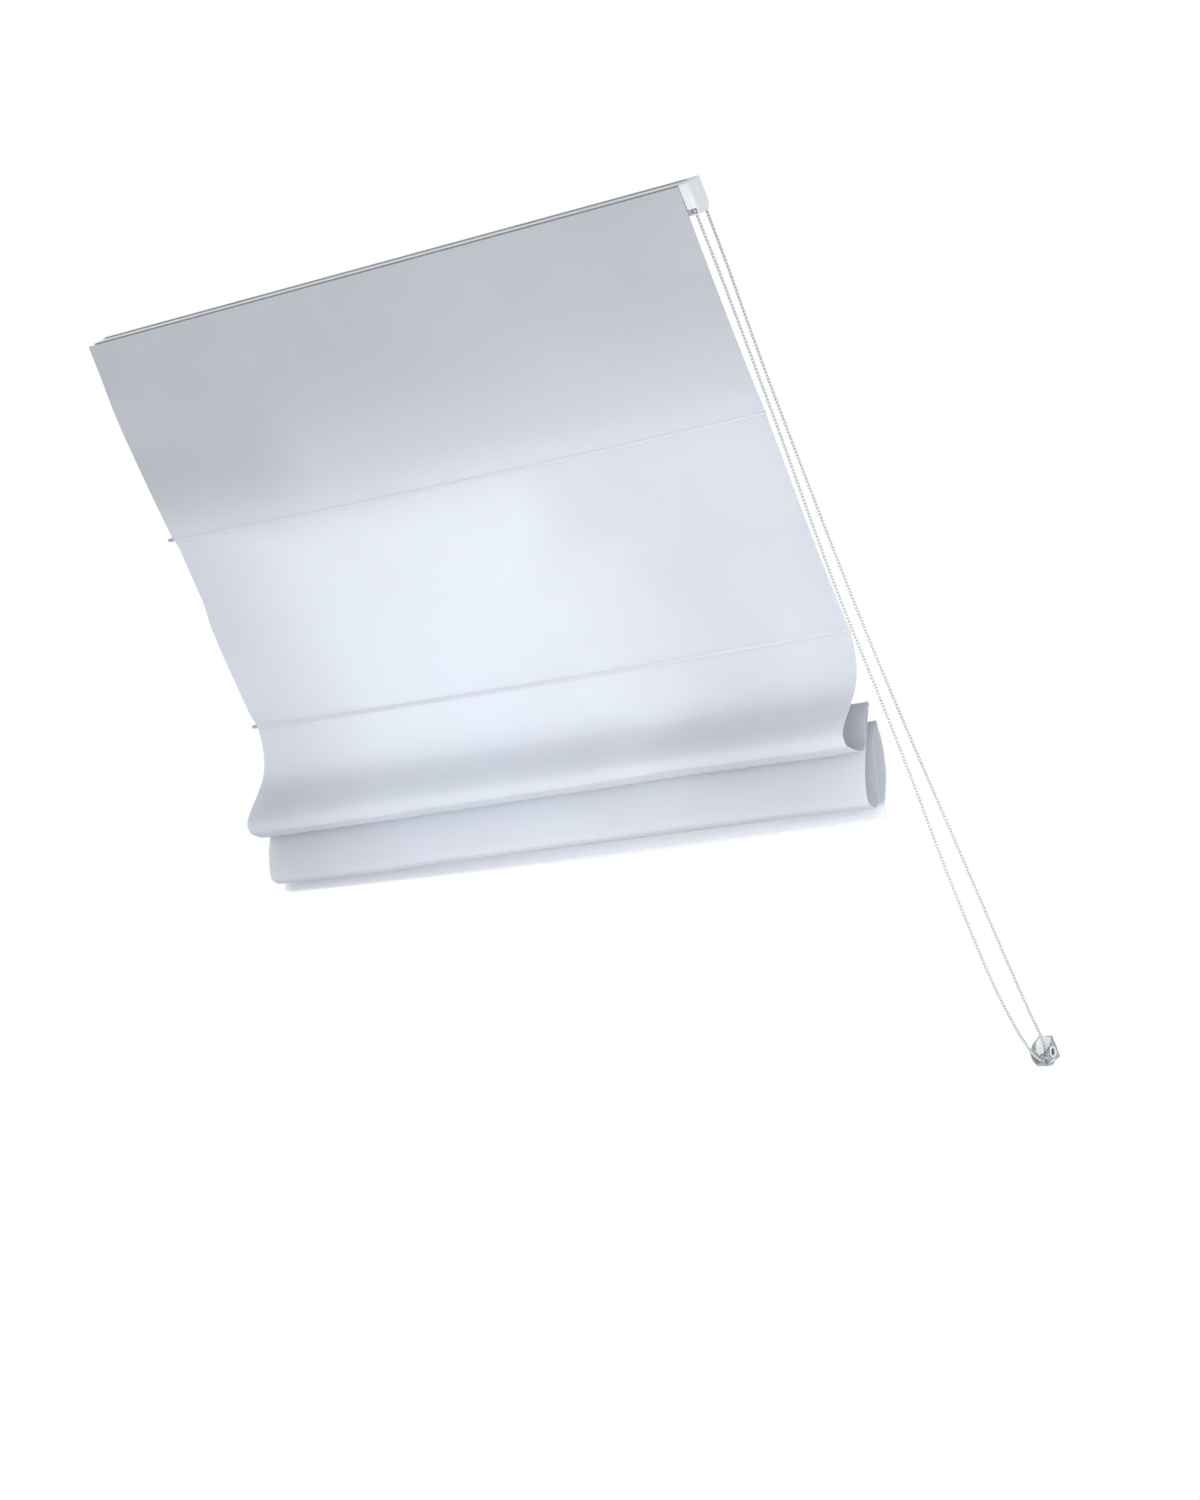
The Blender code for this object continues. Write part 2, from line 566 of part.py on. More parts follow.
def make_housing(root, look):
    """The white cover over the bead wheel, open below for both strands of the chain."""
    top, bottom = -HOUSING_OVERHANG, RAIL_HEIGHT
    outline = [(top, -FACE_DEPTH)]
    for k in range(4):
        turn = math.pi / 2 * k / 3
        outline.append((bottom - HOUSING_CORNER * (1 - math.sin(turn)),
                        -FACE_DEPTH + HOUSING_CORNER * (1 - math.cos(turn))))
    outline += [(bottom, -HOUSING_CHAMFER), (bottom - HOUSING_CHAMFER, 0), (top, 0)]
    housing = prism("drive_housing", outline, HOUSING_LEFT, HOUSING_RIGHT, look["white_plastic"], root)
    rim = RAIL_WALL - GAP
    front, back = -FACE_DEPTH + HOUSING_WALL, -HOUSING_BACK_WALL
    floor = bottom - HOUSING_WALL
    cut = HOUSING_CHAMFER
    cavity = [(rim, front), (floor, front), (floor, back - cut), (floor - cut, back), (rim, back)]
    combine(housing, prism("housing_cavity", cavity, HOUSING_LEFT - HOUSING_WALL,
                           HOUSING_RIGHT - HOUSING_WALL, look["steel"], root), "DIFFERENCE")
    half = BEAD_RADIUS + 4 * GAP
    slot = box_outline(floor - 2 * HOUSING_CHAMFER, bottom + HOUSING_WALL, front, back)
    combine(housing, prism("chain_slot", slot, CHAIN_X - half, CHAIN_X + half, look["steel"], root),
            "DIFFERENCE")
    opening = box_outline(HOUSING_FRONT_DROP, bottom + HOUSING_WALL, -FACE_DEPTH - HOUSING_WALL,
                          -FACE_DEPTH + HOUSING_CORNER)
    combine(housing, prism("front_opening", opening, HOUSING_LEFT - HOUSING_WALL,
                           HOUSING_RIGHT - HOUSING_WALL, look["steel"], root), "DIFFERENCE")


def tube(name, points, radius, material, body, cyclic=False, resolution=2):
    """A round wire or cord along points in roof coordinates."""
    origin = body.location if body.parent else Vector((0, 0, 0))
    curve = bpy.data.curves.new(name, "CURVE")
    curve.dimensions = "3D"
    curve.bevel_depth = radius
    curve.bevel_resolution = resolution
    curve.use_fill_caps = not cyclic
    spline = curve.splines.new("POLY")
    spline.points.add(len(points) - 1)
    for target, point in zip(spline.points, points):
        target.co = (*(Vector(point) - origin), 1.0)
    spline.use_cyclic_u = cyclic
    curve.materials.append(material)
    obj = bpy.data.objects.new(name, curve)
    obj.parent = body
    bpy.context.scene.collection.objects.link(obj)
    return obj


def chain_x(drop):
    """The chain leaves the wheel's plane on its way down to the tensioner."""
    share = (drop - AXIS_DROP) / (GUIDE_DROP - AXIS_DROP)
    return CHAIN_X + max(0.0, min(1.0, share)) * (TENSIONER_X - CHAIN_X)


def make_chain(root, look):
    """The endless bead chain: down behind, round the tensioner, up in front, over the wheel."""
    guide = (GUIDE_DROP, -GUIDE_DEPTH)
    wheel = (AXIS_DROP, AXIS_PLANE)
    entry = math.radians(GUIDE_LEAN)
    steps = 8

    def arc(centre, radius, first, last):
        points = []
        for k in range(steps + 1):
            angle = first + (last - first) * k / steps
            points.append((centre[0] + radius * math.sin(angle), centre[1] - radius * math.cos(angle)))
        return points

    round_guide = arc(guide, GUIDE_RADIUS, math.pi, entry)
    over_wheel = arc(wheel, WHEEL_RADIUS, 2 * math.pi, math.pi)
    below_front = (RAIL_HEIGHT + BEAD_RADIUS, wheel[1] - WHEEL_RADIUS)
    below_back = (RAIL_HEIGHT + BEAD_RADIUS, wheel[1] + WHEEL_RADIUS)
    rear = [below_back] + [(drop, -depth) for drop, depth in REAR_STRAND] + [round_guide[0]]
    front = [round_guide[-1]] + [(drop, -depth) for drop, depth in FRONT_STRAND] + [below_front]
    route = over_wheel[1:] + smooth_path(rear)[:-1] + round_guide[:-1] + smooth_path(front)
    route.append(over_wheel[0])
    tube("chain_loop", [(chain_x(y), y, z) for y, z in route], BEAD_RADIUS, look["chain"], root,
         cyclic=True)


def make_tensioner(root, look):
    """The clear clip on the wall: two cheeks on a foot, a round trough and the post for the chain."""
    half, sheet = TENSIONER_WIDTH / 2, TENSIONER_SHEET
    left, right = TENSIONER_X - half, TENSIONER_X + half
    inside = (left + sheet / 2, right - sheet / 2)
    guide, screw = (GUIDE_DROP, -GUIDE_DEPTH), (SCREW_DROP, -SCREW_DEPTH)
    top, bottom = TENSIONER_TOP, TENSIONER_TOP + TENSIONER_FOOT
    shoulder = top - TENSIONER_SHOULDER
    clear = look["clear"]

    def arc(radius, first, last, steps):
        points = []
        for k in range(steps + 1):
            angle = math.radians(first + (last - first) * k / steps)
            points.append((BELLY_DROP + radius * math.sin(angle),
                           -BELLY_DEPTH - radius * math.cos(angle)))
        return points

    wide = [(bottom, 0), (top, 0), (shoulder, -TENSIONER_SHOULDER), (shoulder, -TENSIONER_MOUTH_DEPTH)]
    wide += arc(BELLY_RADIUS, BELLY_FIRST, BELLY_LAST, 8)
    body = prism("tensioner_body", wide, left, left + sheet, clear, root)
    near = [(bottom, 0), (top, 0), (SCREW_DROP - SCREW_BOSS_RADIUS, -SCREW_DEPTH),
            (SCREW_DROP - SCREW_BOSS_RADIUS, -NEAR_CHEEK_DEPTH), (GUIDE_DROP, -NEAR_CHEEK_DEPTH)]
    near += arc(BELLY_RADIUS - sheet / 2, 50, BELLY_LAST, 4)
    parts = [prism("near_cheek", near, right - sheet, right, clear, root)]
    foot = box_outline(top, bottom, -sheet, 0)
    parts.append(prism("tensioner_foot", foot, *inside, clear, root))
    trough = arc(BELLY_RADIUS, TROUGH_FIRST, BELLY_LAST, 7)
    trough += arc(BELLY_RADIUS - sheet, BELLY_LAST, TROUGH_FIRST, 7)
    parts.append(prism("chain_trough", trough, *inside, clear, root))

    post = GUIDE_RADIUS - BEAD_RADIUS - GAP
    lean = math.radians(GUIDE_LEAN)
    out = Vector((math.sin(lean), -math.cos(lean)))
    up = Vector((-math.cos(lean), -math.sin(lean)))
    touch = Vector(guide) + out * post
    saddle = [touch, touch + up * SADDLE_LENGTH, touch + up * SADDLE_LENGTH - out * sheet,
              touch - out * sheet]
    post_span = (left + sheet / 2, TENSIONER_X + BEAD_RADIUS + GAP)
    parts.append(prism("chain_saddle", [tuple(p) for p in saddle], *post_span, clear, root))
    parts.append(rod_between("guide_post", post, 14, guide, left + sheet / 2, right - sheet / 2,
                             clear, root))
    parts.append(rod_between("screw_sleeve", SCREW_SLEEVE_RADIUS, 12, screw, *inside, clear, root))
    boss_floor = right + GAP - SCREW_BOSS_HEIGHT
    parts.append(rod_between("screw_boss", SCREW_BOSS_RADIUS, 16, screw, boss_floor, right + GAP,
                             clear, root))
    for part in parts:
        combine(body, part, "UNION")
    head_seat = boss_floor + sheet / 2
    combine(body, rod_between("screw_well", SCREW_HEAD_RADIUS + GAP, 16, screw, head_seat,
                              right + sheet, clear, root), "DIFFERENCE")
    combine(body, rod_between("screw_hole", SCREW_SHANK_RADIUS + GAP, 12, screw, left - sheet,
                              head_seat + GAP, clear, root), "DIFFERENCE")

    seat = head_seat + GAP
    profile = [
        (left, SCREW_SHANK_RADIUS), (seat, SCREW_SHANK_RADIUS), (seat, SCREW_HEAD_RADIUS),
        (seat + SCREW_HEAD_HEIGHT, SCREW_HEAD_RADIUS),
        (seat + 1.5 * SCREW_HEAD_HEIGHT, SCREW_HEAD_RADIUS * SCREW_HEAD_CROWN),
    ]
    loops = [[(x, *p) for p in circle(radius, 12, screw)] for x, radius in profile]
    rings("tensioner_screw", loops, look["screw"], root)


def make_rod(number, body, look):
    """One folding rod with its grey end tip and the three cord rings behind its pocket."""
    y, z = rod_place(number)
    low, high = -HALF_WIDTH - SLEEVE_LENGTH + GAP, HALF_WIDTH - POCKET_SHORT_OF_EDGE
    steps = 8
    loops = []
    for k in range(steps + 1):
        x = low + (high - low) * k / steps
        centre = (y + ROD_BOW * max(bow(x), 0.0), z)
        loops.append([(x, *p) for p in circle(ROD_RADIUS, 8, centre)])
    rings(f"rod_{number}", loops, look["rod"], body)

    edge = -HALF_WIDTH - GAP
    sleeve, bore = ROD_RADIUS + GAP + SLEEVE_WALL, ROD_RADIUS + GAP
    tip_x = edge - ROD_TIP_LENGTH
    neck = edge - SLEEVE_LENGTH
    shapes = [(edge, sleeve, sleeve), (neck, sleeve, sleeve),
              (tip_x + ROD_TIP_TAPER, sleeve, ROD_TIP_THICKNESS / 2),
              (tip_x, sleeve * ROD_TIP_NOSE, ROD_TIP_EDGE)]
    loops = []
    for x, tall, thick in shapes:
        loops.append([(x, y + tall * p, z + thick * q) for p, q in circle(1.0, 10)])
    loops.append([(neck, *p) for p in circle(bore, 10, (y, z))])
    loops.append([(edge, *p) for p in circle(bore, 10, (y, z))])
    blade, well = loops[:4], loops[4:]
    tip_skin(f"rod_tip_{number}", blade, well, look["tip"], body)

    for index, x in enumerate(CORD_X, start=1):
        ring_y = y + ROD_BOW * bow(x)
        loops = []
        for i in range(12):
            angle = 2 * math.pi * i / 12
            middle = (x + RING_RADIUS * math.cos(angle), ring_y, RING_PLANE - ROD_PLANE + z
                      + RING_RADIUS * math.sin(angle))
            out = (math.cos(angle), 0.0, math.sin(angle))
            loop = []
            for j in range(6):
                turn = 2 * math.pi * j / 6
                loop.append(tuple(
                    m + RING_WIRE * (math.cos(turn) * o + math.sin(turn) * up)
                    for m, o, up in zip(middle, out, (0.0, 1.0, 0.0))
                ))
            loops.append(loop)
        rings(f"cord_ring_{number}_{index}", loops, look["ring"], body, closed=True)


def tip_skin(name, blade, well, material, body):
    """A cap: the outer skin of a rod tip, closed at its blade, with a blind bore for the rod."""
    count = len(blade[0])
    loops = [well[0], well[1], *blade]
    points = [p for loop in loops for p in loop]
    faces = [tuple(range(count))]
    for k in range(len(loops) - 1):
        here, there = k * count, (k + 1) * count
        faces += [
            (here + i, here + (i + 1) % count, there + (i + 1) % count, there + i)
            for i in range(count)
        ]
    faces.append(tuple(range(len(points) - count, len(points))))
    return solid(name, points, faces, material, body, smooth=True)


def make_cloth(bodies, look):
    """Four panels, each in an upper and a lower half that meet at its fold, and the bottom hem."""
    cloth = look["cloth"]
    top_of_pocket = math.sqrt(
        (POCKET_RADIUS + CLOTH / 2 + GAP) ** 2 - (POCKET_RADIUS - CLOTH / 2) ** 2
    )
    first, second = FIRST_DROP, FIRST_DROP + ROD_SPACING
    middle = GAP / 2 / ROD_SPACING

    ribbon("panel_1_upper", flat_run(0.0, first, 0.0, 0.5 - middle), (0.0, ROD_BOW),
           bodies["root"], cloth)
    end = 1 - top_of_pocket / FIRST_DROP
    ribbon("panel_1_lower", flat_run(0.0, first, 0.5 + middle, end), (ROD_BOW, ROD_BOW),
           bodies["fold_1"], cloth)
    pocket = pocket_path(rod_place(1))
    ribbon("panel_2_upper", pocket + flat_run(first, second, 0.02, 0.5 - middle),
           (ROD_BOW, ROD_BOW), bodies["rod_1"], cloth)
    end = 1 - top_of_pocket / ROD_SPACING
    ribbon("panel_2_lower", flat_run(first, second, 0.5 + middle, end), (ROD_BOW, ROD_BOW),
           bodies["fold_2"], cloth)

    for number, front_leg, rear_leg in ((3, PANEL_3_FRONT, PANEL_3_REAR),
                                        (4, PANEL_4_FRONT, PANEL_4_REAR)):
        above = rod_place(number - 1)
        front = pocket_path(above) + smooth_path(offset_from(above, front_leg))
        ribbon(f"panel_{number}_upper", front, (ROD_BOW, ROD_BOW), bodies[f"rod_{number - 1}"], cloth)
        rear = smooth_path(offset_from(above, rear_leg)) + over_pocket(number)
        ribbon(f"panel_{number}_lower", rear, (ROD_BOW, ROD_BOW), bodies[f"fold_{number}"], cloth)
    make_hem(bodies["rod_4"], look)


def over_pocket(number):
    """The end of a panel that comes up from below, past the front of a rod's pocket."""
    y, z = rod_place(number)
    clear = POCKET_RADIUS + CLOTH + GAP
    points = []
    for angle in (12, 40, 68):
        turn = math.radians(angle)
        points.append((y - clear * math.sin(turn), z - clear * math.cos(turn)))
    return points


def make_hem(body, look):
    """The last strip of cloth, its tunnel, and the flat bar with end caps that weighs it down."""
    place = rod_place(4)
    leg = offset_from(place, HEM_STRIP)
    bar_top = leg[-1]
    down = Vector(hang(0.0, 1.0))
    wall = Vector(hang(1.0, 0.0))
    room = (HEM_BAR_THICKNESS + CLOTH) / 2 + GAP
    front_low = Vector(bar_top) + down * (HEM_BAR_HEIGHT + GAP)
    turn = [front_low + wall * room * (1 - math.cos(a)) + down * room * math.sin(a)
            for a in (math.pi * k / 6 for k in range(7))]
    back = [Vector(bar_top) + wall * 2 * room,
            Vector(bar_top) + wall * (room + CLOTH) - down * HEM_TURN_BACK]
    path = pocket_path(place) + smooth_path(leg) + [tuple(p) for p in turn + back]
    ribbon("hem_panel", path, (ROD_BOW, ROD_BOW), body, look["cloth"])

    centre = Vector(bar_top) + wall * room + down * HEM_BAR_HEIGHT / 2
    low, high = -HALF_WIDTH + HEM_BAR_SHIFT, HALF_WIDTH + HEM_BAR_SHIFT
    steps = 6

    def section(x, shorter=0.0):
        tall, thick = HEM_BAR_HEIGHT / 2 - shorter, HEM_BAR_THICKNESS / 2
        middle = centre + Vector((ROD_BOW * bow(x), 0.0))
        corners = ((-tall, -thick), (tall, -thick), (tall, thick), (-tall, thick))
        return [(x, *(middle + down * a + wall * b)) for a, b in corners]

    inner_low, inner_high = low + HEM_CAP_LENGTH, high - HEM_CAP_LENGTH
    spans = [inner_low + (inner_high - inner_low) * k / steps for k in range(steps + 1)]
    rings("hem_bar", [section(x) for x in spans], look["steel"], body, smooth=False)
    for side, tip, root_end in (("left", low, inner_low - GAP), ("right", high, inner_high + GAP)):
        inward = HEM_CAP_ROUNDING * (1 if side == "left" else -1)
        stations = [(tip, HEM_CAP_ROUNDING), (tip + 0.3 * inward, 0.3 * HEM_CAP_ROUNDING),
                    (tip + inward, 0.0), (root_end, 0.0)]
        rings(f"hem_cap_{side}", [section(x, less) for x, less in stations],
              look["white_plastic"], body, smooth=False)


def make_lift_cords(root, look, cord_plane):
    """Three cords from the spools through the rings of every rod, tied under the last ring."""
    offset = RING_PLANE - ROD_PLANE
    for number, x in enumerate(CORD_X, start=1):
        sag = ROD_BOW * bow(x)
        holes = [(rod_place(k)[0] + sag, rod_place(k)[1] + offset) for k in (1, 2, 3, 4)]
        last = holes[-1]
        tie = [(last[0] + RING_WIRE + CORD_RADIUS + GAP, last[1] + RING_RADIUS - RING_WIRE)]
        path = [(AXIS_DROP, cord_plane), (RAIL_HEIGHT, cord_plane), *holes, *tie]
        tube(f"lift_cord_{number}", [(x, y, z) for y, z in path], CORD_RADIUS, look["cord"], root)


def make_blind():
    for obj in list(bpy.data.objects):
        bpy.data.objects.remove(obj, do_unlink=True)
    look = make_finishes()
    root = empty("roof_plane")
    root.rotation_euler = (-ROOF_PITCH, 0.0, 0.0)
    bodies = {"root": root, "drive": empty("drive_axis", root, (0, AXIS_DROP, AXIS_PLANE))}
    for number in (1, 2, 3, 4):
        place = (0.0, *rod_place(number))
        bodies[f"rod_{number}"] = empty(f"rod_{number}_slide", root, place)
        bodies[f"fold_{number}"] = empty(f"fold_{number}_slide", root, place)
    make_headrail(root, look)
    cord_plane = make_spools(root, bodies["drive"], look)
    make_drive(root, bodies["drive"], look)
    make_chain(root, look)
    make_tensioner(root, look)
    for number in (1, 2, 3, 4):
        make_rod(number, bodies[f"rod_{number}"], look)
    make_cloth(bodies, look)
    make_lift_cords(root, look, cord_plane)


make_blind()
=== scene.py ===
"""Looks of a chain-operated Roman blind that hangs, partly raised, on a sloping wall.

Places are worked out in roof coordinates and turned into the row frame: x runs along the
headrail towards the chain, drop runs down the slope, depth runs into the roof. The wall is
depth 0 and the upper edge of the headrail is drop 0. Sizes are metres.
"""

import json
import logging
import math
from dataclasses import dataclass, field
from enum import Enum
from typing import Callable, Sequence, Union

import bmesh
import bpy
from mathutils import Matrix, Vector


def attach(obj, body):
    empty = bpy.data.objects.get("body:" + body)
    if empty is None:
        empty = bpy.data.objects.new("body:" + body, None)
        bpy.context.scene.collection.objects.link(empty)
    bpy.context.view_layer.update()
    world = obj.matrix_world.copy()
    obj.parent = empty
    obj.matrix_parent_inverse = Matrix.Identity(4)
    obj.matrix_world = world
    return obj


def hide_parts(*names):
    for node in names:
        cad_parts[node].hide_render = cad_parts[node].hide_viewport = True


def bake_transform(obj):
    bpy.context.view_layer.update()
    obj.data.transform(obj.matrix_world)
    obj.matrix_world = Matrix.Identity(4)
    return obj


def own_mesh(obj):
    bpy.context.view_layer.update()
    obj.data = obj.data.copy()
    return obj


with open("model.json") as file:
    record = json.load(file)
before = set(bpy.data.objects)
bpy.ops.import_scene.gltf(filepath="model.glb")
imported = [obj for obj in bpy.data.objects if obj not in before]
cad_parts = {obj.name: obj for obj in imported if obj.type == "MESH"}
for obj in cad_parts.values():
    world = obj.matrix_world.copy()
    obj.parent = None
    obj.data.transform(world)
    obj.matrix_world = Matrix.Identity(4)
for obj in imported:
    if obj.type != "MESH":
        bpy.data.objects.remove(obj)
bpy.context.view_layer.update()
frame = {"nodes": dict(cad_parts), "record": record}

LOG = logging.getLogger("blind")
Pair = tuple[float, float]
Colour = tuple[float, float, float]

PITCH = math.radians(54.0)
COS, SIN = math.cos(PITCH), math.sin(PITCH)
TURN = 2 * math.pi
RODS = ("one", "two", "three", "four")
STRAIGHT = ((0.0, 0.0), (1.0, 0.0))
WHITE = (1.0, 1.0, 1.0)


# ---------------------------------------------------------------- places


def at(x: float, drop: float, depth: float) -> Vector:
    """A place in roof coordinates as a point of the row frame."""
    return Vector((x, drop * COS + depth * SIN, -drop * SIN + depth * COS))


def hang(towards_wall: float, down: float) -> Pair:
    """Level and plumb distances as a step in (drop, depth)."""
    return (COS * towards_wall + SIN * down, SIN * towards_wall - COS * down)


def smooth_path(points: Sequence[Pair], steps: int) -> list[Pair]:
    """A smooth line through the points.

    Args:
        points: The points that the line passes through.
        steps: How many steps lie between each pair of points.

    Returns:
        The points of the line, ending with the last point given.
    """
    ends = [tuple(2 * a - b for a, b in zip(points[i], points[j])) for i, j in ((0, 1), (-1, -2))]
    line = [ends[0], *points, ends[1]]
    path = []
    for a, b, c, d in zip(line, line[1:], line[2:], line[3:]):
        for k in range(steps):
            t = k / steps
            path.append(tuple(
                q + t * (r - p) / 2 + t * t * (2 * p - 5 * q + 4 * r - s) / 2
                + t ** 3 * (3 * q - p - 3 * r + s) / 2
                for p, q, r, s in zip(a, b, c, d)
            ))
    return path + [tuple(points[-1])]


def arc(centre: Pair, radius: float, first: float, last: float, steps: int) -> list[Pair]:
    """Points of an arc in (drop, depth).

    Args:
        centre: The arc's centre.
        radius: Its radius.
        first: The angle it starts at, in degrees from straight towards the room.
        last: The angle it ends at.
        steps: How many steps it has.

    Returns:
        The points from first to last.
    """
    points = []
    for k in range(steps + 1):
        angle = math.radians(first + (last - first) * k / steps)
        points.append((centre[0] + radius * math.sin(angle), centre[1] - radius * math.cos(angle)))
    return points


def between(value: float, stops: Sequence[Pair]) -> float:
    """A value read off a smooth curve through (place, value) stops.

    Args:
        value: The place.
        stops: The stops, in rising order.

    Returns:
        The value there, held level beyond the ends.
    """
    if value <= stops[0][0]:
        return stops[0][1]
    for (a, low), (b, high) in zip(stops, stops[1:]):
        if value <= b:
            t = (value - a) / (b - a)
            return low + (high - low) * t * t * (3 - 2 * t)
    return stops[-1][1]


def angles(count: int) -> list[float]:
    """Equal steps round a full turn, in radians."""
    return [TURN * k / count for k in range(count)]


@dataclass(frozen=True)
class Sizes:
    """The blind's shared sizes."""

    width: float = 1.0
    cloth: float = 0.0005
    face_depth: float = 0.028
    gap: float = 0.0003
    first_drop: float = 0.289
    rod_spacing: float = 0.2905
    rod_bow: float = 0.004
    billow: float = 0.003
    rod_radius: float = 0.00175
    ring_radius: float = 0.00375
    ring_wire: float = 0.00075
    cord_radius: float = 0.0006
    cord_inset: float = 0.13
    rail_depth: float = 0.0234
    rail_height: float = 0.038
    rail_back: float = -0.0018
    axis_drop: float = 0.019
    drum_radius: float = 0.007
    bead_pitch: float = 0.0043
    bead_radius: float = 0.0016
    wheel_pockets: int = 16
    chain_outboard: float = 0.0073
    rod_3_hang: Pair = (0.040, 0.087)
    rod_4_hang: Pair = (0.017, 0.021)

    @property
    def half(self) -> float:
        """Half the cloth's width."""
        return self.width / 2

    @property
    def plane(self) -> float:
        """Depth of the middle of the cloth where it lies flat."""
        return -self.face_depth + self.cloth / 2

    @property
    def pocket(self) -> float:
        """Radius of the middle of the cloth in a rod's pocket."""
        return self.rod_radius + self.gap + self.cloth / 2

    @property
    def rod_plane(self) -> float:
        """Depth of the two upper rods."""
        return self.plane + self.pocket

    @property
    def ring_offset(self) -> float:
        """How far the cord rings stand behind their rod."""
        return self.pocket + self.cloth / 2 + self.gap + self.ring_radius + self.ring_wire

    @property
    def axis_plane(self) -> float:
        """Depth of the drive's axis."""
        return self.rail_back - self.rail_depth / 2

    @property
    def cord_plane(self) -> float:
        """Depth at which the lift cords leave their spools."""
        return self.axis_plane - self.drum_radius - self.gap - self.cord_radius

    @property
    def cord_x(self) -> tuple[float, float, float]:
        """Where the three lift cords hang."""
        edge = self.half - self.cord_inset
        return (-edge, 0.0, edge)

    @property
    def chain_x(self) -> float:
        """Where the bead wheel runs."""
        return self.half + self.chain_outboard

    def bow(self, x: float) -> float:
        """Share of the rods' mid-span sag at a place along them."""
        return max(0.0, 1 - (x / self.half) ** 2)

    def rod(self, number: int) -> Pair:
        """Where a rod's ends hang, as (drop, depth).

        Args:
            number: The rod's number, from 1 at the top to 4.

        Returns:
            Its place, without the sag.
        """
        drop, depth = self.first_drop, self.rod_plane
        steps = {2: (self.rod_spacing, 0.0), 3: hang(*self.rod_3_hang), 4: hang(*self.rod_4_hang)}
        for k in range(2, number + 1):
            drop, depth = drop + steps[k][0], depth + steps[k][1]
        return drop, depth


SIZES = Sizes()


# ---------------------------------------------------------------- node trees

Value = Union["Wire", float]


def sum_node(operation: str, swap: bool = False) -> Callable[["Wire", Value], "Wire"]:
    """An operator of Wire.

    Args:
        operation: The Math node's operation.
        swap: Whether the wire goes in second.

    Returns:
        The method, which adds one Math node.
    """

    def method(self: "Wire", other: Value) -> "Wire":
        """Adds the node."""
        return self.maths(operation, other, swap=swap)

    return method


class Wire:
    """An output socket that can be used in sums."""

    __add__, __radd__ = sum_node("ADD"), sum_node("ADD", True)
    __sub__, __rsub__ = sum_node("SUBTRACT"), sum_node("SUBTRACT", True)
    __mul__, __rmul__ = sum_node("MULTIPLY"), sum_node("MULTIPLY", True)
    __truediv__ = sum_node("DIVIDE")
    least, most = sum_node("MINIMUM"), sum_node("MAXIMUM")

    def __init__(self, graph: "Graph", socket: bpy.types.NodeSocket) -> None:
        """Keeps the socket and the graph it belongs to."""
        self.graph = graph
        self.socket = socket

    def maths(self, operation: str, *others: Value, swap: bool = False) -> "Wire":
        """Adds one Math node.

        Args:
            operation: What the node does.
            others: Its further inputs.
            swap: Whether this wire goes in last.

        Returns:
            The node's value.
        """
        values = [*others, self] if swap else [self, *others]
        inputs = dict(enumerate(values))
        return self.graph.add("ShaderNodeMath", {"operation": operation}, inputs)

    def sine(self) -> "Wire":
        """The sine of this, in radians."""
        return self.maths("SINE")

    def step(self, low: float, high: float) -> "Wire":
        """A soft step from 0 at low to 1 at high.

        Args:
            low: Where it starts.
            high: Where it ends.

        Returns:
            The step's value.
        """
        settings = {"interpolation_type": "SMOOTHSTEP"}
        return self.graph.add("ShaderNodeMapRange", settings, {"Value": self, "From Min": low,
                                                               "From Max": high})


class Graph:
    """Adds nodes to one tree: settings first, then the values and links of the sockets."""

    def __init__(self, tree: bpy.types.NodeTree) -> None:
        """Keeps the tree."""
        self.tree = tree

    def add(self, kind: str, settings: dict | None = None, inputs: dict | None = None,
            outlet: Union[str, int] = 0) -> Wire:
        """Adds a node.

        Args:
            kind: The node's type.
            settings: Its properties.
            inputs: Values or wires by socket name or number.
            outlet: Which output is returned.

        Returns:
            The chosen output, or the node wrapped where it has none.
        """
        node = self.tree.nodes.new(kind)
        for name, value in (settings or {}).items():
            setattr(node, name, value)
        for name, value in (inputs or {}).items():
            for one in value if isinstance(value, list) else [value]:
                if isinstance(one, Wire):
                    self.tree.links.new(one.socket, node.inputs[name])
                else:
                    node.inputs[name].default_value = one
        return Wire(self, node.outputs[outlet]) if len(node.outputs) else Wire(self, None)

    def pick(self, wire: Wire, outlet: str) -> Wire:
        """Another output of the node that a wire comes from."""
        return Wire(self, wire.socket.node.outputs[outlet])


class ShaderGraph(Graph):
    """A material's or the world's nodes."""

    def coordinates(self, outlet: str, scale: Sequence[float] = (1.0, 1.0, 1.0)) -> Wire:
        """Texture coordinates times a scale."""
        source = self.add("ShaderNodeTexCoord", outlet=outlet)
        return self.add("ShaderNodeMapping", {}, {"Vector": source, "Scale": tuple(scale)})

    def noise(self, vector: Wire, scale: float, detail: float = 2.0, rough: float = 0.5) -> Wire:
        """Noise from 0 to 1."""
        return self.add("ShaderNodeTexNoise", {}, {"Vector": vector, "Scale": scale,
                                                   "Detail": detail, "Roughness": rough})

    def blend(self, factor: Value, first: Union[Colour, Wire],
              second: Union[Colour, Wire]) -> Wire:
        """A mix of two colours.

        Args:
            factor: How much of the second there is.
            first: The first colour.
            second: The second colour.

        Returns:
            The mixed colour.
        """
        node = self.tree.nodes.new("ShaderNodeMix")
        node.data_type = "RGBA"
        for socket, value in ((node.inputs[0], factor), (node.inputs[6], first),
                              (node.inputs[7], second)):
            if isinstance(value, Wire):
                self.tree.links.new(value.socket, socket)
            else:
                socket.default_value = value if isinstance(value, float) else (*value, 1.0)
        return Wire(self, node.outputs[2])

    def bump(self, height: Wire, strength: float, distance: float) -> Wire:
        """A normal from a height."""
        return self.add("ShaderNodeBump", {}, {"Height": height, "Strength": strength,
                                               "Distance": distance})


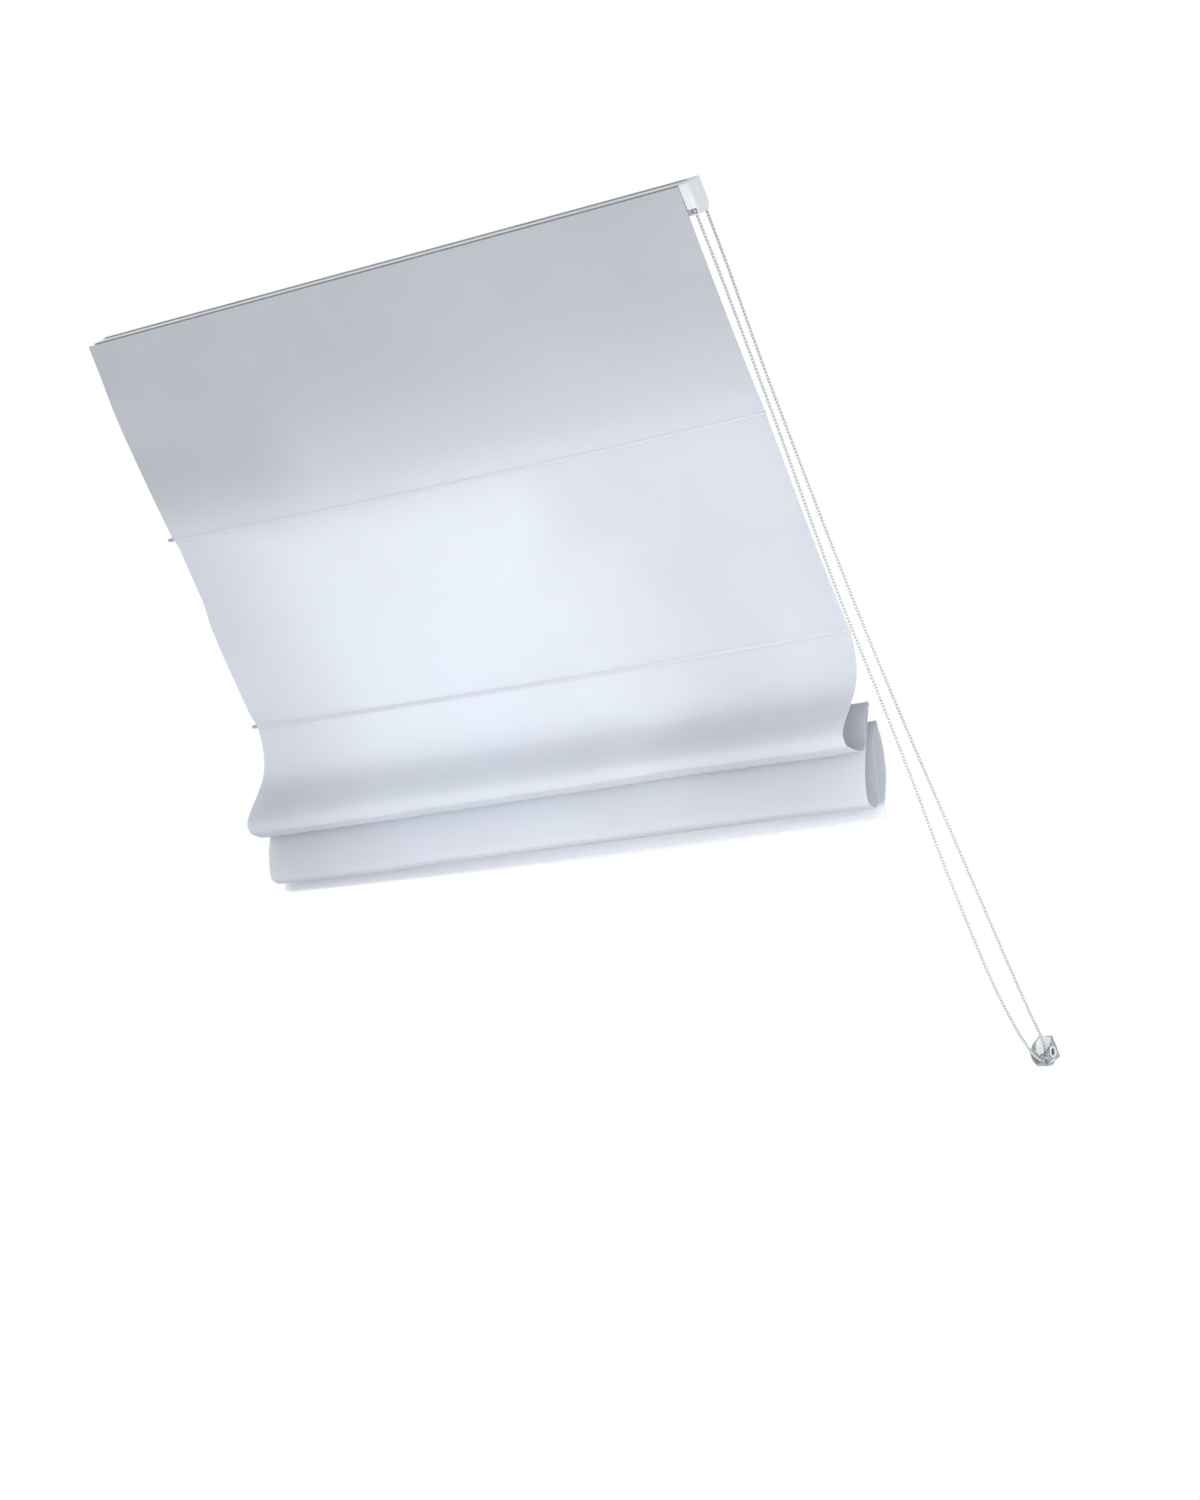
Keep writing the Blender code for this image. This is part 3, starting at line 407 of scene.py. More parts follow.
def cleared(owner: Union[bpy.types.Material, bpy.types.World]) -> ShaderGraph:
    """The emptied node graph of a material or the world.

    Args:
        owner: The material or world.

    Returns:
        Its graph, without nodes.
    """
    owner.use_nodes = True
    owner.node_tree.nodes.clear()
    return ShaderGraph(owner.node_tree)


@dataclass(frozen=True)
class Finish:
    """A finish with one shader; its kinds add what varies over the surface."""

    name: str
    slot: str
    colour: Colour
    roughness: float
    metallic: float = 0.0
    variation: float = 0.03

    def make(self) -> bpy.types.Material:
        """Builds the material.

        Returns:
            The material, with this finish's nodes.
        """
        material = bpy.data.materials.new(self.name)
        graph = cleared(material)
        graph.add("ShaderNodeOutputMaterial", {}, {"Surface": self.shader(graph)})
        return material

    def tone(self, share: float) -> Colour:
        """The finish's colour, times a share."""
        return tuple(min(1.0, c * share) for c in self.colour)

    def principled(self, graph: ShaderGraph, inputs: dict) -> Wire:
        """The shader with this finish's plain values, and the inputs given over them.

        Args:
            graph: The graph that the nodes go into.
            inputs: Values or wires by socket name.

        Returns:
            The shader.
        """
        plain = {"Base Color": (*self.colour, 1.0), "Roughness": self.roughness,
                 "Metallic": self.metallic}
        return graph.add("ShaderNodeBsdfPrincipled", {}, {**plain, **inputs})

    def shader(self, graph: ShaderGraph) -> Wire:
        """The finish's shader; each kind has its own."""
        raise NotImplementedError


@dataclass(frozen=True)
class Moulded(Finish):
    """Moulded plastic: faint flow marks and a fine spark texture."""

    grain: float = 1400.0
    depth: float = 0.00004

    def shader(self, graph: ShaderGraph) -> Wire:
        """Plastic whose colour, gloss and surface vary a little.

        Args:
            graph: The graph that the nodes go into.

        Returns:
            The shader.
        """
        place = graph.coordinates("Object")
        flow = graph.noise(place, 38.0, 3.0)
        speck = graph.noise(place, self.grain, 2.0)
        low, high = self.tone(1 - self.variation), self.tone(1 + self.variation)
        colour = graph.blend(flow.step(0.3, 0.7), low, high)
        rough = self.roughness + (flow - 0.5) * 0.12 + (speck - 0.5) * 0.10
        return self.principled(graph, {"Base Color": colour, "Roughness": rough,
                                       "Normal": graph.bump(speck, 0.35, self.depth)})


@dataclass(frozen=True)
class Beaded(Moulded):
    """Moulded beads with painted shade towards their ends, where they meet on the thread."""

    # joint: the colour of the painted shade at the bead ends.
    joint: Colour = (0.20, 0.205, 0.21)

    def shader(self, graph: ShaderGraph) -> Wire:
        """Glossy plastic with painted shade towards each bead's ends.

        Args:
            graph: The graph that the nodes go into.

        Returns:
            The shader.
        """
        end = graph.add("ShaderNodeAttribute", {"attribute_name": "end"}, outlet="Fac")
        speck = graph.noise(graph.coordinates("Object"), self.grain, 2.0)
        colour = graph.blend((end + (speck - 0.5) * 0.1).step(0.45, 1.0), self.colour, self.joint)
        return self.principled(graph, {"Base Color": colour,
                                       "Roughness": self.roughness + (speck - 0.5) * 0.1})


@dataclass(frozen=True)
class Drawn(Finish):
    """Drawn or extruded metal: fine lines along the headrail's length."""

    stretch: float = 1800.0
    depth: float = 0.00003

    def shader(self, graph: ShaderGraph) -> Wire:
        """Metal with lines, dull patches and a little bump.

        Args:
            graph: The graph that the nodes go into.

        Returns:
            The shader.
        """
        along = graph.coordinates("Object", (3.0, self.stretch, self.stretch))
        lines = graph.noise(along, 1.0, 2.0)
        patches = graph.noise(graph.coordinates("Object", (7.0, 40.0, 40.0)), 1.0, 3.0)
        mixed = lines * 0.6 + patches * 0.4
        low, high = self.tone(1 - 2 * self.variation), self.tone(1 + self.variation)
        colour = graph.blend(mixed.step(0.3, 0.7), low, high)
        rough = self.roughness + (lines - 0.5) * 0.18 + (patches - 0.5) * 0.14
        return self.principled(graph, {"Base Color": colour, "Roughness": rough,
                                       "Normal": graph.bump(lines, 0.25, self.depth)})


@dataclass(frozen=True)
class Plated(Finish):
    """Plated steel: crystal patches of slightly different tone."""

    patch: float = 420.0

    def shader(self, graph: ShaderGraph) -> Wire:
        """Metal with a fine spangle and a cloudy gloss.

        Args:
            graph: The graph that the nodes go into.

        Returns:
            The shader.
        """
        place = graph.coordinates("Object")
        cells = graph.add("ShaderNodeTexVoronoi", {}, {"Vector": place, "Scale": self.patch},
                          "Distance")
        cloud = graph.noise(place, 90.0, 3.0)
        low, high = self.tone(1 - 3 * self.variation), self.tone(1 + 2 * self.variation)
        colour = graph.blend((cells * 0.6 + cloud * 0.5).step(0.2, 0.8), low, high)
        rough = self.roughness + (cloud - 0.5) * 0.22
        return self.principled(graph, {"Base Color": colour, "Roughness": rough,
                                       "Normal": graph.bump(cells, 0.15, 0.00003)})


@dataclass(frozen=True)
class Clear(Finish):
    """Clear moulded plastic with a grey cast in its thickness."""

    depth: float = 0.00008

    def shader(self, graph: ShaderGraph) -> Wire:
        """Clear plastic with soft flow lines.

        Args:
            graph: The graph that the nodes go into.

        Returns:
            The shader.
        """
        place = graph.coordinates("Object")
        flow = graph.noise(place, 160.0, 3.0, 0.6)
        colour = graph.blend(flow.step(0.25, 0.75), self.tone(0.90), self.tone(1.06))
        return self.principled(graph, {
            "Base Color": colour, "Roughness": self.roughness + flow * 0.12,
            "Transmission Weight": 0.66, "IOR": 1.46,
            "Normal": graph.bump(flow, 0.25, self.depth),
        })


@dataclass(frozen=True)
class Woven(Finish):
    """Plain-woven cloth that lets some light through; its map is in metres."""

    # deep is the painted shade's colour; the slubs' darker threads lean towards it as well.
    deep: Colour = (0.352, 0.366, 0.396)
    # The hem tunnel's colour: painted light for the shade of the lowest fold, and its doubled
    # cloth a little lighter too.
    doubled_and_painted_light: Colour = (0.89, 0.91, 0.94)
    hem: Pair = (1.2575, 1.2605)
    thread: float = 0.00085
    see_through: float = 0.5
    over_wall: float = 0.04
    # How much painted shade each zone gets, in place of the light that comes through the cloth
    # elsewhere.
    wall_painted_shade: float = 0.84
    beside_painted_shade: float = 0.44
    first_painted_shade: float = 0.29
    left_painted_shade: float = 0.19
    right_painted_shade: float = 0.20
    seam_painted_light: float = 0.35

    def shade(self, x: Wire, drop: Wire, over: Wire, cloud: Wire) -> Wire:
        """How much painted shade the cloth gets: most where it lies close over the wall; the two
        upper seams get painted light.

        Args:
            x: Metres along the headrail.
            drop: Metres down the slope.
            over: 1 where it covers the wall.
            cloud: Soft noise, 0 to 1.

        Returns:
            0 where no shade is painted, 1 where the most is; lower along the seams, where light is
            painted.
        """
        # Painted shade: over the wall, beside it on the left, on the first panel, and at both
        # sides.
        side = x + (cloud - 0.5) * 0.16
        down = drop + (cloud - 0.5) * 0.10
        beside = (1.0 - side.step(-0.34, 0.04)) * (1.0 - down.step(0.20, 0.36))
        first = (1.0 - down.step(0.23, 0.35)) * self.first_painted_shade
        left = (1.0 - side.step(-0.50, -0.24)) * self.left_painted_shade
        right = side.step(0.02, 0.34) * self.right_painted_shade
        rest = (beside * self.beside_painted_shade).most(first).most(left).most(right)
        grey = over * self.wall_painted_shade + (1.0 - over) * rest
        # Painted light along the two upper rods' pockets, over the shade that each rod casts in
        # the cloth.
        level = drop - (1.0 - x * x * 4.0) * SIZES.rod_bow
        sewn = (level - SIZES.rod(1)[0]).maths("ABSOLUTE").least(
            (level - SIZES.rod(2)[0]).maths("ABSOLUTE"))
        seam = 1.0 - sewn.step(0.0020, 0.0032)
        return grey + (cloud - 0.5) * 0.2 - seam * self.seam_painted_light

    def shader(self, graph: ShaderGraph) -> Wire:
        """Cloth with crossing threads, slubs, cloudy thickness, painted shade, painted light on
        the seams and hem, and a soft sheen.

        Args:
            graph: The graph that the nodes go into.

        Returns:
            The shader.
        """
        uv = graph.add("ShaderNodeTexCoord", outlet="UV")
        across = graph.add("ShaderNodeSeparateXYZ", {}, {"Vector": uv})
        turn = TURN / self.thread
        warp, weft = (across * turn).sine(), (graph.pick(across, "Y") * turn).sine()
        weave = warp * weft * 0.5 + 0.5
        slub_across = graph.noise(graph.coordinates("UV", (55.0, 1500.0, 1.0)), 1.0, 2.0)
        slub_along = graph.noise(graph.coordinates("UV", (1500.0, 55.0, 1.0)), 1.0, 2.0)
        place = graph.coordinates("Object")
        x = graph.add("ShaderNodeSeparateXYZ", {}, {"Vector": place})
        drop = graph.pick(x, "Y") * COS - graph.pick(x, "Z") * SIN
        cloud = graph.noise(graph.coordinates("Object", (4.0, 5.0, 5.0)), 1.0, 3.0, 0.55)
        tint = graph.noise(graph.coordinates("Object", (2.6, 3.1, 3.1)), 1.0, 1.0)
        warmer = (*self.tone(1.0)[:2], self.colour[2] * 0.985)
        light = graph.blend(tint.step(0.35, 0.65), self.colour, warmer)
        over = 1.0 - (drop + (cloud - 0.5) * 0.10).step(0.10, 0.25)
        # Painted shade: the cloth's colour goes towards deep by the amount that shade() gives.
        colour = graph.blend(self.shade(x, drop, over, cloud), light, self.deep)
        # Painted light on the hem tunnel, which lies in the lowest fold's shade; its doubled cloth
        # is a little lighter too.
        colour = graph.blend(graph.pick(across, "Y").step(*self.hem), colour, self.doubled_and_painted_light)
        threads = slub_across * 0.5 + slub_along * 0.5
        colour = graph.blend((threads.step(0.25, 0.75) * 0.5 + weave * 0.5) * 0.08, colour,
                             self.deep)
        normal = graph.bump(weave * 0.6 + threads * 0.8, 0.2, 0.00016)
        body = self.principled(graph, {"Base Color": colour, "Normal": normal,
                                       "Sheen Weight": 0.12, "Specular IOR Level": 0.2})
        through = graph.add("ShaderNodeBsdfTranslucent", {}, {"Color": colour, "Normal": normal})
        share = over * (self.over_wall - self.see_through) + self.see_through
        return graph.add("ShaderNodeMixShader", {}, {0: share, 1: body, 2: through})


@dataclass(frozen=True)
class Braided(Finish):
    """Braided cord or twisted thread; its map runs round and along, in metres."""

    strands: float = 8.0
    lay: float = 0.0022

    def shader(self, graph: ShaderGraph) -> Wire:
        """Two sets of strands that cross as they wind along.

        Args:
            graph: The graph that the nodes go into.

        Returns:
            The shader.
        """
        uv = graph.add("ShaderNodeTexCoord", outlet="UV")
        around = graph.add("ShaderNodeSeparateXYZ", {}, {"Vector": uv})
        along = graph.pick(around, "Y")
        one = (around * (TURN * self.strands / 2) + along * (TURN / self.lay)).sine()
        two = (around * (TURN * self.strands / 2) - along * (TURN / self.lay)).sine()
        braid = one * two * 0.5 + 0.5
        fuzz = graph.noise(graph.coordinates("Object"), 2600.0, 2.0)
        colour = graph.blend(braid.step(0.1, 0.7), self.tone(0.80), self.colour)
        return self.principled(graph, {"Base Color": colour,
                                       "Normal": graph.bump(braid + fuzz * 0.4, 0.5, 0.00012)})


@dataclass(frozen=True)
class HookTape(Finish):
    """A fuzzy hook band in rows."""

    row: float = 0.0015

    def shader(self, graph: ShaderGraph) -> Wire:
        """Rows of hooks with a woven ground between.

        Args:
            graph: The graph that the nodes go into.

        Returns:
            The shader.
        """
        place = graph.coordinates("Object")
        split = graph.add("ShaderNodeSeparateXYZ", {}, {"Vector": place})
        rows = (split * (TURN / self.row)).sine() * 0.5 + 0.5
        fuzz = graph.noise(place, 1900.0, 3.0, 0.7)
        mixed = rows * 0.5 + fuzz * 0.5
        colour = graph.blend(mixed.step(0.3, 0.7), self.tone(0.84), self.colour)
        return self.principled(graph, {"Base Color": colour,
                                       "Normal": graph.bump(rows + fuzz, 0.5, 0.0003)})


class Look(Enum):
    """The blind's finishes: each has its material's name, its slot, its colour and its gloss."""

    CLOTH = Woven("woven_cloth", "cloth", (0.80, 0.825, 0.875), 0.88)
    PLASTIC = Moulded("moulded_white", "white_plastic", (0.64, 0.665, 0.695), 0.36)
    CHAIN = Beaded("chain_plastic", "chain", (0.52, 0.53, 0.53), 0.24)
    RING = Moulded("ring_plastic", "ring", (0.80, 0.80, 0.80), 0.33)
    SPOOL = Moulded("spool_plastic", "spool", (0.62, 0.64, 0.66), 0.42)
    TIP = Moulded("moulded_grey", "tip", (0.33, 0.34, 0.35), 0.48, variation=0.06)
    ROD = Drawn("rod_glass_fibre", "rod", (0.78, 0.79, 0.78), 0.45, 0.0)
    RAIL = Drawn("drawn_aluminium", "rail", (0.78, 0.80, 0.82), 0.36, 0.55)
    # Painted shade: the rail's aluminium darkened, for the shadow lines along the channel's top.
    LIP_PAINTED_SHADE = Drawn("lip_aluminium_painted_shade", "rail", (0.38, 0.40, 0.42), 0.42, 1.0)
    STEEL = Plated("zinc_steel", "steel", (0.55, 0.56, 0.58), 0.34, 1.0)
    BRACKET = Plated("bracket_steel", "steel", (0.34, 0.35, 0.37), 0.42, 1.0)
    SCREW = Plated("dark_steel", "screw", (0.12, 0.12, 0.13), 0.36, 1.0)
    CLEAR = Clear("clear_plastic", "clear", (0.56, 0.59, 0.61), 0.05)
    CORD = Braided("braided_cord", "cord", (0.82, 0.83, 0.84), 0.8)
    THREAD = Braided("sewing_thread", "cord", (0.62, 0.64, 0.67), 0.7, strands=2.0, lay=0.0007)
    BAND = HookTape("hook_tape", "white_plastic", (0.78, 0.80, 0.82), 0.85)

    def material(self) -> bpy.types.Material:
        """The finish's material, built once.

        Returns:
            The material.
        """
        if self not in MADE:
            MADE[self] = self.value.make()
        return MADE[self]


MADE: dict[Look, bpy.types.Material] = {}


# ---------------------------------------------------------------- meshes


@dataclass
class Shell:
    """Points, faces and a map that are gathered into one mesh."""

    points: list[Vector] = field(default_factory=list)
    faces: list[tuple[int, ...]] = field(default_factory=list)
    uvs: list[Pair] = field(default_factory=list)

    def skin(self, loops: Sequence[Sequence[Vector]], closed: bool = False, cap: bool = True,
             along: Sequence[float] = ()) -> None:
        """Adds a skin over loops of equally many points.

        Args:
            loops: The loops, in order.
            closed: Whether the last loop joins the first.
            cap: Whether the ends of an open skin are closed.
            along: How far along each loop lies, for the map.
        """
        first, count = len(self.points), len(loops[0])
        for k, loop in enumerate(loops):
            self.points += [Vector(p) for p in loop]
            run = along[k] if along else 0.0
            self.uvs += [(min(i, count - i) * 2 / count, run) for i in range(count)]
        for k in range(len(loops) if closed else len(loops) - 1):
            here, there = first + k * count, first + (k + 1) % len(loops) * count
            for i in range(count):
                j = (i + 1) % count
                self.faces.append((here + i, here + j, there + j, there + i))
        if cap and not closed:
            self.faces.append(tuple(range(first, first + count)))
            self.faces.append(tuple(range(len(self.points) - count, len(self.points))))

    def tube(self, path: Sequence[Vector], radius: float, sides: int = 10,
             closed: bool = False) -> None:
        """Adds a round tube along a path.

        Args:
            path: The tube's centreline.
            radius: Its radius.
            sides: How many sides it has.
            closed: Whether it ends where it starts.
        """
        count = len(path)
        tangents = []
        for i in range(count):
            before = path[(i - 1) % count] if closed else path[max(i - 1, 0)]
            after = path[(i + 1) % count] if closed else path[min(i + 1, count - 1)]
            tangents.append((after - before).normalized())
        side = tangents[0].orthogonal().normalized()
        loops, along, run = [], [], 0.0
        for i, (point, tangent) in enumerate(zip(path, tangents)):
            side = (side - tangent * side.dot(tangent)).normalized()
            up = tangent.cross(side)
            run += (point - path[i - 1]).length if i else 0.0
            along.append(run)
            loops.append([
                point + radius * (math.cos(a) * side + math.sin(a) * up)
                for a in angles(sides)
            ])
        self.skin(loops, closed, along=along)

    def piece(self, name: str, look: Look, body: str | None,
              sharp: float = 40.0) -> bpy.types.Object:
        """Makes the gathered mesh an object with its finish.

        Args:
            name: The piece's name.
            look: Its finish.
            body: The body that it rides on, or None.
            sharp: Edges sharper than this, in degrees, stay crisp.

        Returns:
            The new object.
        """
        mesh = self.mesh(name)
        if self.uvs:
            layer = mesh.uv_layers.new(name="UVMap")
            for loop in mesh.loops:
                layer.data[loop.index].uv = self.uvs[loop.vertex_index]
        return dress(mesh, name, look, body, sharp)

    def mesh(self, name: str) -> bpy.types.Mesh:
        """The gathered points and faces as a mesh whose faces look outward.

        Args:
            name: The mesh's name.

        Returns:
            The mesh.
        """
        mesh = bpy.data.meshes.new(name)
        mesh.from_pydata(self.points, [], self.faces)
        work = bmesh.new()
        work.from_mesh(mesh)
        bmesh.ops.recalc_face_normals(work, faces=work.faces)
        work.to_mesh(mesh)
        work.free()
        return mesh


def placed(name: str, data: bpy.types.ID) -> bpy.types.Object:
    """A new object of some data, in the scene.

    Args:
        name: The object's name.
        data: Its mesh, camera or lamp.

    Returns:
        The object.
    """
    obj = bpy.data.objects.new(name, data)
    bpy.context.scene.collection.objects.link(obj)
    return obj


def dress(mesh: bpy.types.Mesh, name: str, look: Look, body: str | None,
          sharp: float = 40.0) -> bpy.types.Object:
    """Makes an object of a mesh, with its finish and its body.

    Args:
        mesh: The finished mesh, in the row frame.
        name: The piece's name.
        look: Its finish.
        body: The body that it rides on, or None.
        sharp: Edges sharper than this, in degrees, stay crisp.

    Returns:
        The new object.
    """
    mesh.name = name
    mesh.materials.clear()
    mesh.materials.append(look.material())
    mesh.shade_smooth()
    mesh.set_sharp_from_angle(angle=math.radians(sharp))
    obj = placed(name, mesh)
    if body:
        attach(obj, body)
    LOG.info("%s: %d faces", name, len(mesh.polygons))
    return obj


def settled(obj: bpy.types.Object) -> bpy.types.Mesh:
    """The plain mesh that an object's modifiers give; the object goes.

    Args:
        obj: The object.

    Returns:
        The new mesh.
    """
    graph = bpy.context.evaluated_depsgraph_get()
    mesh = bpy.data.meshes.new_from_object(obj.evaluated_get(graph))
    old = obj.data
    bpy.data.objects.remove(obj)
    bpy.data.meshes.remove(old)
    return mesh


def flatten(mesh: bpy.types.Mesh, broad: float = 1.2e-5) -> None:
    """Shades broad faces flat and lets the small faces beside them bend to meet them.

    Args:
        mesh: The mesh.
        broad: The area from which a face counts as broad.
    """
    beside: dict[int, list[Vector]] = {}
    for face in mesh.polygons:
        if face.area > broad:
            for vertex in face.vertices:
                beside.setdefault(vertex, []).append(face.normal.copy())
    normals = []
    for face in mesh.polygons:
        for corner in face.loop_indices:
            near = [n for n in beside.get(mesh.loops[corner].vertex_index, ())
                    if n.dot(face.normal) > 0.5]
            if face.area > broad:
                normals.append(face.normal.copy())
            elif near:
                normals.append(max(near, key=face.normal.dot))
            else:
                normals.append(mesh.corner_normals[corner].vector.copy())
    mesh.normals_split_custom_set(normals)


def softened(node: str, width: float, look: Look, body: str, name: str, segments: int = 2,
             trim: bpy.types.Mesh | None = None) -> bpy.types.Object:
    """A CAD part again, with its edges rounded over.

    Args:
        node: The CAD node.
        width: The rounding's width.
        look: The finish.
        body: The body that it rides on.
        name: The new piece's name.
        segments: Steps across the rounding.
        trim: A solid that the part is trimmed to first.

    Returns:
        The piece, which stands for the node.
    """
    mesh = frame["nodes"][node].data.copy()
    work = bmesh.new()
    work.from_mesh(mesh)
    bmesh.ops.remove_doubles(work, verts=work.verts, dist=2e-6)
    bmesh.ops.dissolve_limit(work, angle_limit=math.radians(1.0), verts=work.verts,
                             edges=work.edges)
    work.to_mesh(mesh)
    work.free()
    mesh.shade_smooth()
    obj = placed(name, mesh)
    if trim:
        block = placed("trim", trim)
        cut = obj.modifiers.new("trim", "BOOLEAN")
        cut.operation, cut.solver, cut.object = "INTERSECT", "EXACT", block
    bevel = obj.modifiers.new("edge", "BEVEL")
    bevel.width, bevel.segments, bevel.limit_method = width, segments, "ANGLE"
    bevel.angle_limit = math.radians(32)
    bevel.harden_normals = True
    made = dress(settled(obj), name, look, body, 60.0)
    if trim:
        bpy.data.objects.remove(block)
        bpy.data.meshes.remove(trim)
        flatten(made.data)
    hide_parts(node)
    return made


# ---------------------------------------------------------------- grown pieces


class Growth(Graph):
    """A geometry tree with named inputs that ends in plain, dressed geometry."""

    def __init__(self, name: str, inputs: dict[str, float | int]) -> None:
        """Makes the tree.

        Args:
            name: The tree's name.
            inputs: The named sizes and their usual values.
        """
        super().__init__(bpy.data.node_groups.new(name, "GeometryNodeTree"))
        socket = "NodeSocketGeometry"
        for way in ("INPUT", "OUTPUT"):
            self.tree.interface.new_socket("Geometry", in_out=way, socket_type=socket)
        for key, value in inputs.items():
            kind = "NodeSocketInt" if isinstance(value, int) else "NodeSocketFloat"
            socket = self.tree.interface.new_socket(key, in_out="INPUT", socket_type=kind)
            socket.default_value = value
        self.entry = self.tree.nodes.new("NodeGroupInput")

    def given(self, name: str) -> Wire:
        """A named input of the tree."""
        return Wire(self, self.entry.outputs[name])

    def tube(self, curve: Wire, radius: str, sides: int, caps: bool = False) -> Wire:
        """A round tube along a curve.

        Args:
            curve: The tube's centreline.
            radius: The input that holds its radius.
            sides: How many sides it has.
            caps: Whether its ends are closed.

        Returns:
            The tube.
        """
        ring = self.add("GeometryNodeCurvePrimitiveCircle", {},
                        {"Resolution": sides, "Radius": self.given(radius)})
        return self.add("GeometryNodeCurveToMesh", {}, {"Curve": curve, "Profile Curve": ring,
                                                        "Fill Caps": caps})

    def close(self, geometry: Wire, look: Look) -> None:
        """Ends the tree: smooth shading, real geometry, one finish.

        Args:
            geometry: What the tree has made.
            look: The finish.
        """
        smooth = self.add("GeometryNodeSetShadeSmooth", {}, {"Geometry": geometry})
        real = self.add("GeometryNodeRealizeInstances", {}, {"Geometry": smooth})
        done = self.add("GeometryNodeSetMaterial", {}, {"Geometry": real,
                                                        "Material": look.material()})
        exit_node = self.tree.nodes.new("NodeGroupOutput")
        self.tree.links.new(done.socket, exit_node.inputs[0])

    def grow(self, name: str, base: bpy.types.Mesh, values: dict[str, float | int], look: Look,
             body: str) -> bpy.types.Object:
        """Grows one piece.

        Args:
            name: The piece's name.
            base: The mesh that the tree starts from.
            values: The sizes, by input name.
            look: The finish.
            body: The body that it rides on.

        Returns:
            The piece, as a plain mesh.
        """
        obj = placed(name + "_base", base)
        modifier = obj.modifiers.new("growth", "NODES")
        modifier.node_group = self.tree
        for item in self.tree.interface.items_tree:
            if item.in_out == "INPUT" and item.name in values:
                modifier[item.identifier] = values[item.name]
        return dress(settled(obj), name, look, body, 50.0)


def polyline(name: str, lines: Sequence[Sequence[Vector]], closed: bool = False) -> bpy.types.Mesh:
    """A mesh of edges along some lines.

    Args:
        name: The mesh's name.
        lines: The lines' points.
        closed: Whether each line is a loop.

    Returns:
        The mesh.
    """
    points, edges = [], []
    for line in lines:
        first = len(points)
        points += line
        edges += [(first + i, first + i + 1) for i in range(len(line) - 1)]
        if closed:
            edges.append((first + len(line) - 1, first))
    mesh = bpy.data.meshes.new(name)
    mesh.from_pydata(points, edges, [])
    return mesh


def bead_tree() -> Growth:
    """Beads strung along a loop, with the thread that they sit on.

    Returns:
        The tree.
    """
    tree = Growth("bead_string", {"Beads": 560, "Bead Radius": 0.0016, "Thread Radius": 0.0004})
    curve = tree.add("GeometryNodeMeshToCurve", {}, {"Mesh": tree.given("Geometry")})
    spaced = tree.add("GeometryNodeResampleCurve", {}, {"Curve": curve,
                                                        "Count": tree.given("Beads")})
    bead = tree.add("GeometryNodeMeshUVSphere", {}, {"Segments": 12, "Rings": 8,
                                                     "Radius": tree.given("Bead Radius")})
    place = tree.add("GeometryNodeInputPosition")
    height = tree.add("ShaderNodeSeparateXYZ", {}, {"Vector": place})
    # How near the bead's ends a point lies; the chain's finish paints shade there.
    end = tree.pick(height, "Z").maths("ABSOLUTE") / tree.given("Bead Radius")
    bead = tree.add("GeometryNodeStoreNamedAttribute", {"data_type": "FLOAT"},
                    {"Geometry": bead, "Name": "end", "Value": end})
    turn = tree.add("FunctionNodeAlignRotationToVector", {"axis": "Z"},
                    {"Vector": tree.add("GeometryNodeInputTangent")})
    beads = tree.add("GeometryNodeInstanceOnPoints", {}, {"Points": spaced, "Instance": bead,
                                                          "Rotation": turn})
    thread = tree.tube(spaced, "Thread Radius", 6)
    joined = tree.add("GeometryNodeJoinGeometry", {}, {"Geometry": [beads, thread]})
    tree.close(joined, Look.CHAIN)
    return tree


def stitch_tree() -> Growth:
    """A row of stitches along each line.

    Returns:
        The tree.
    """
    tree = Growth("stitch_row", {"Pitch": 0.0034, "Stitch": 0.0027, "Thread": 0.00042})
    curve = tree.add("GeometryNodeMeshToCurve", {}, {"Mesh": tree.given("Geometry")})
    spaced = tree.add("GeometryNodeResampleCurve", {"mode": "LENGTH"},
                      {"Curve": curve, "Length": tree.given("Pitch")})
    bead = tree.add("GeometryNodeMeshIcoSphere", {}, {"Radius": 0.5, "Subdivisions": 1})
    tangent = tree.add("GeometryNodeInputTangent")
    turn = tree.add("FunctionNodeAlignRotationToVector", {"axis": "X"}, {"Vector": tangent})
    size = tree.add("ShaderNodeCombineXYZ", {}, {"X": tree.given("Stitch"),
                                                 "Y": tree.given("Thread"),
                                                 "Z": tree.given("Thread")})
    row = tree.add("GeometryNodeInstanceOnPoints", {}, {"Points": spaced, "Instance": bead,
                                                        "Rotation": turn, "Scale": size})
    tree.close(row, Look.THREAD)
    return tree


def ring_tree() -> Growth:
    """A wire ring on each point, lying across the cords.

    Returns:
        The tree.
    """
    tree = Growth("cord_rings", {"Ring Radius": 0.00375, "Wire Radius": 0.00075, "Tilt": 0.0})
    wire = tree.add("GeometryNodeCurvePrimitiveCircle", {}, {"Resolution": 36,
                                                             "Radius": tree.given("Ring Radius")})
    ring = tree.tube(wire, "Wire Radius", 12)
    turn = tree.add("ShaderNodeCombineXYZ", {}, {"X": tree.given("Tilt")})
    rings = tree.add("GeometryNodeInstanceOnPoints", {}, {"Points": tree.given("Geometry"),
                                                          "Instance": ring, "Rotation": turn})
    tree.close(rings, Look.RING)
    return tree


def coil_tree() -> Growth:
    """A coil of wire or cord round the drive's axis, centred on each point.

    Returns:
        The tree.
    """
    tree = Growth("coil", {"Turns": 6.0, "Coil Radius": 0.007, "Length": 0.02,
                           "Wire Radius": 0.0006})
    coil = tree.add("GeometryNodeCurveSpiral", {}, {
        "Resolution": 28, "Rotations": tree.given("Turns"), "Height": tree.given("Length"),
        "Start Radius": tree.given("Coil Radius"), "End Radius": tree.given("Coil Radius"),
    })
    tube = tree.tube(coil, "Wire Radius", 8, True)
    coils = tree.add("GeometryNodeInstanceOnPoints", {}, {
        "Points": tree.given("Geometry"), "Instance": tube, "Rotation": (0.0, math.pi / 2, 0.0),
    })
    tree.close(coils, Look.CORD)
    return tree


# ---------------------------------------------------------------- chain


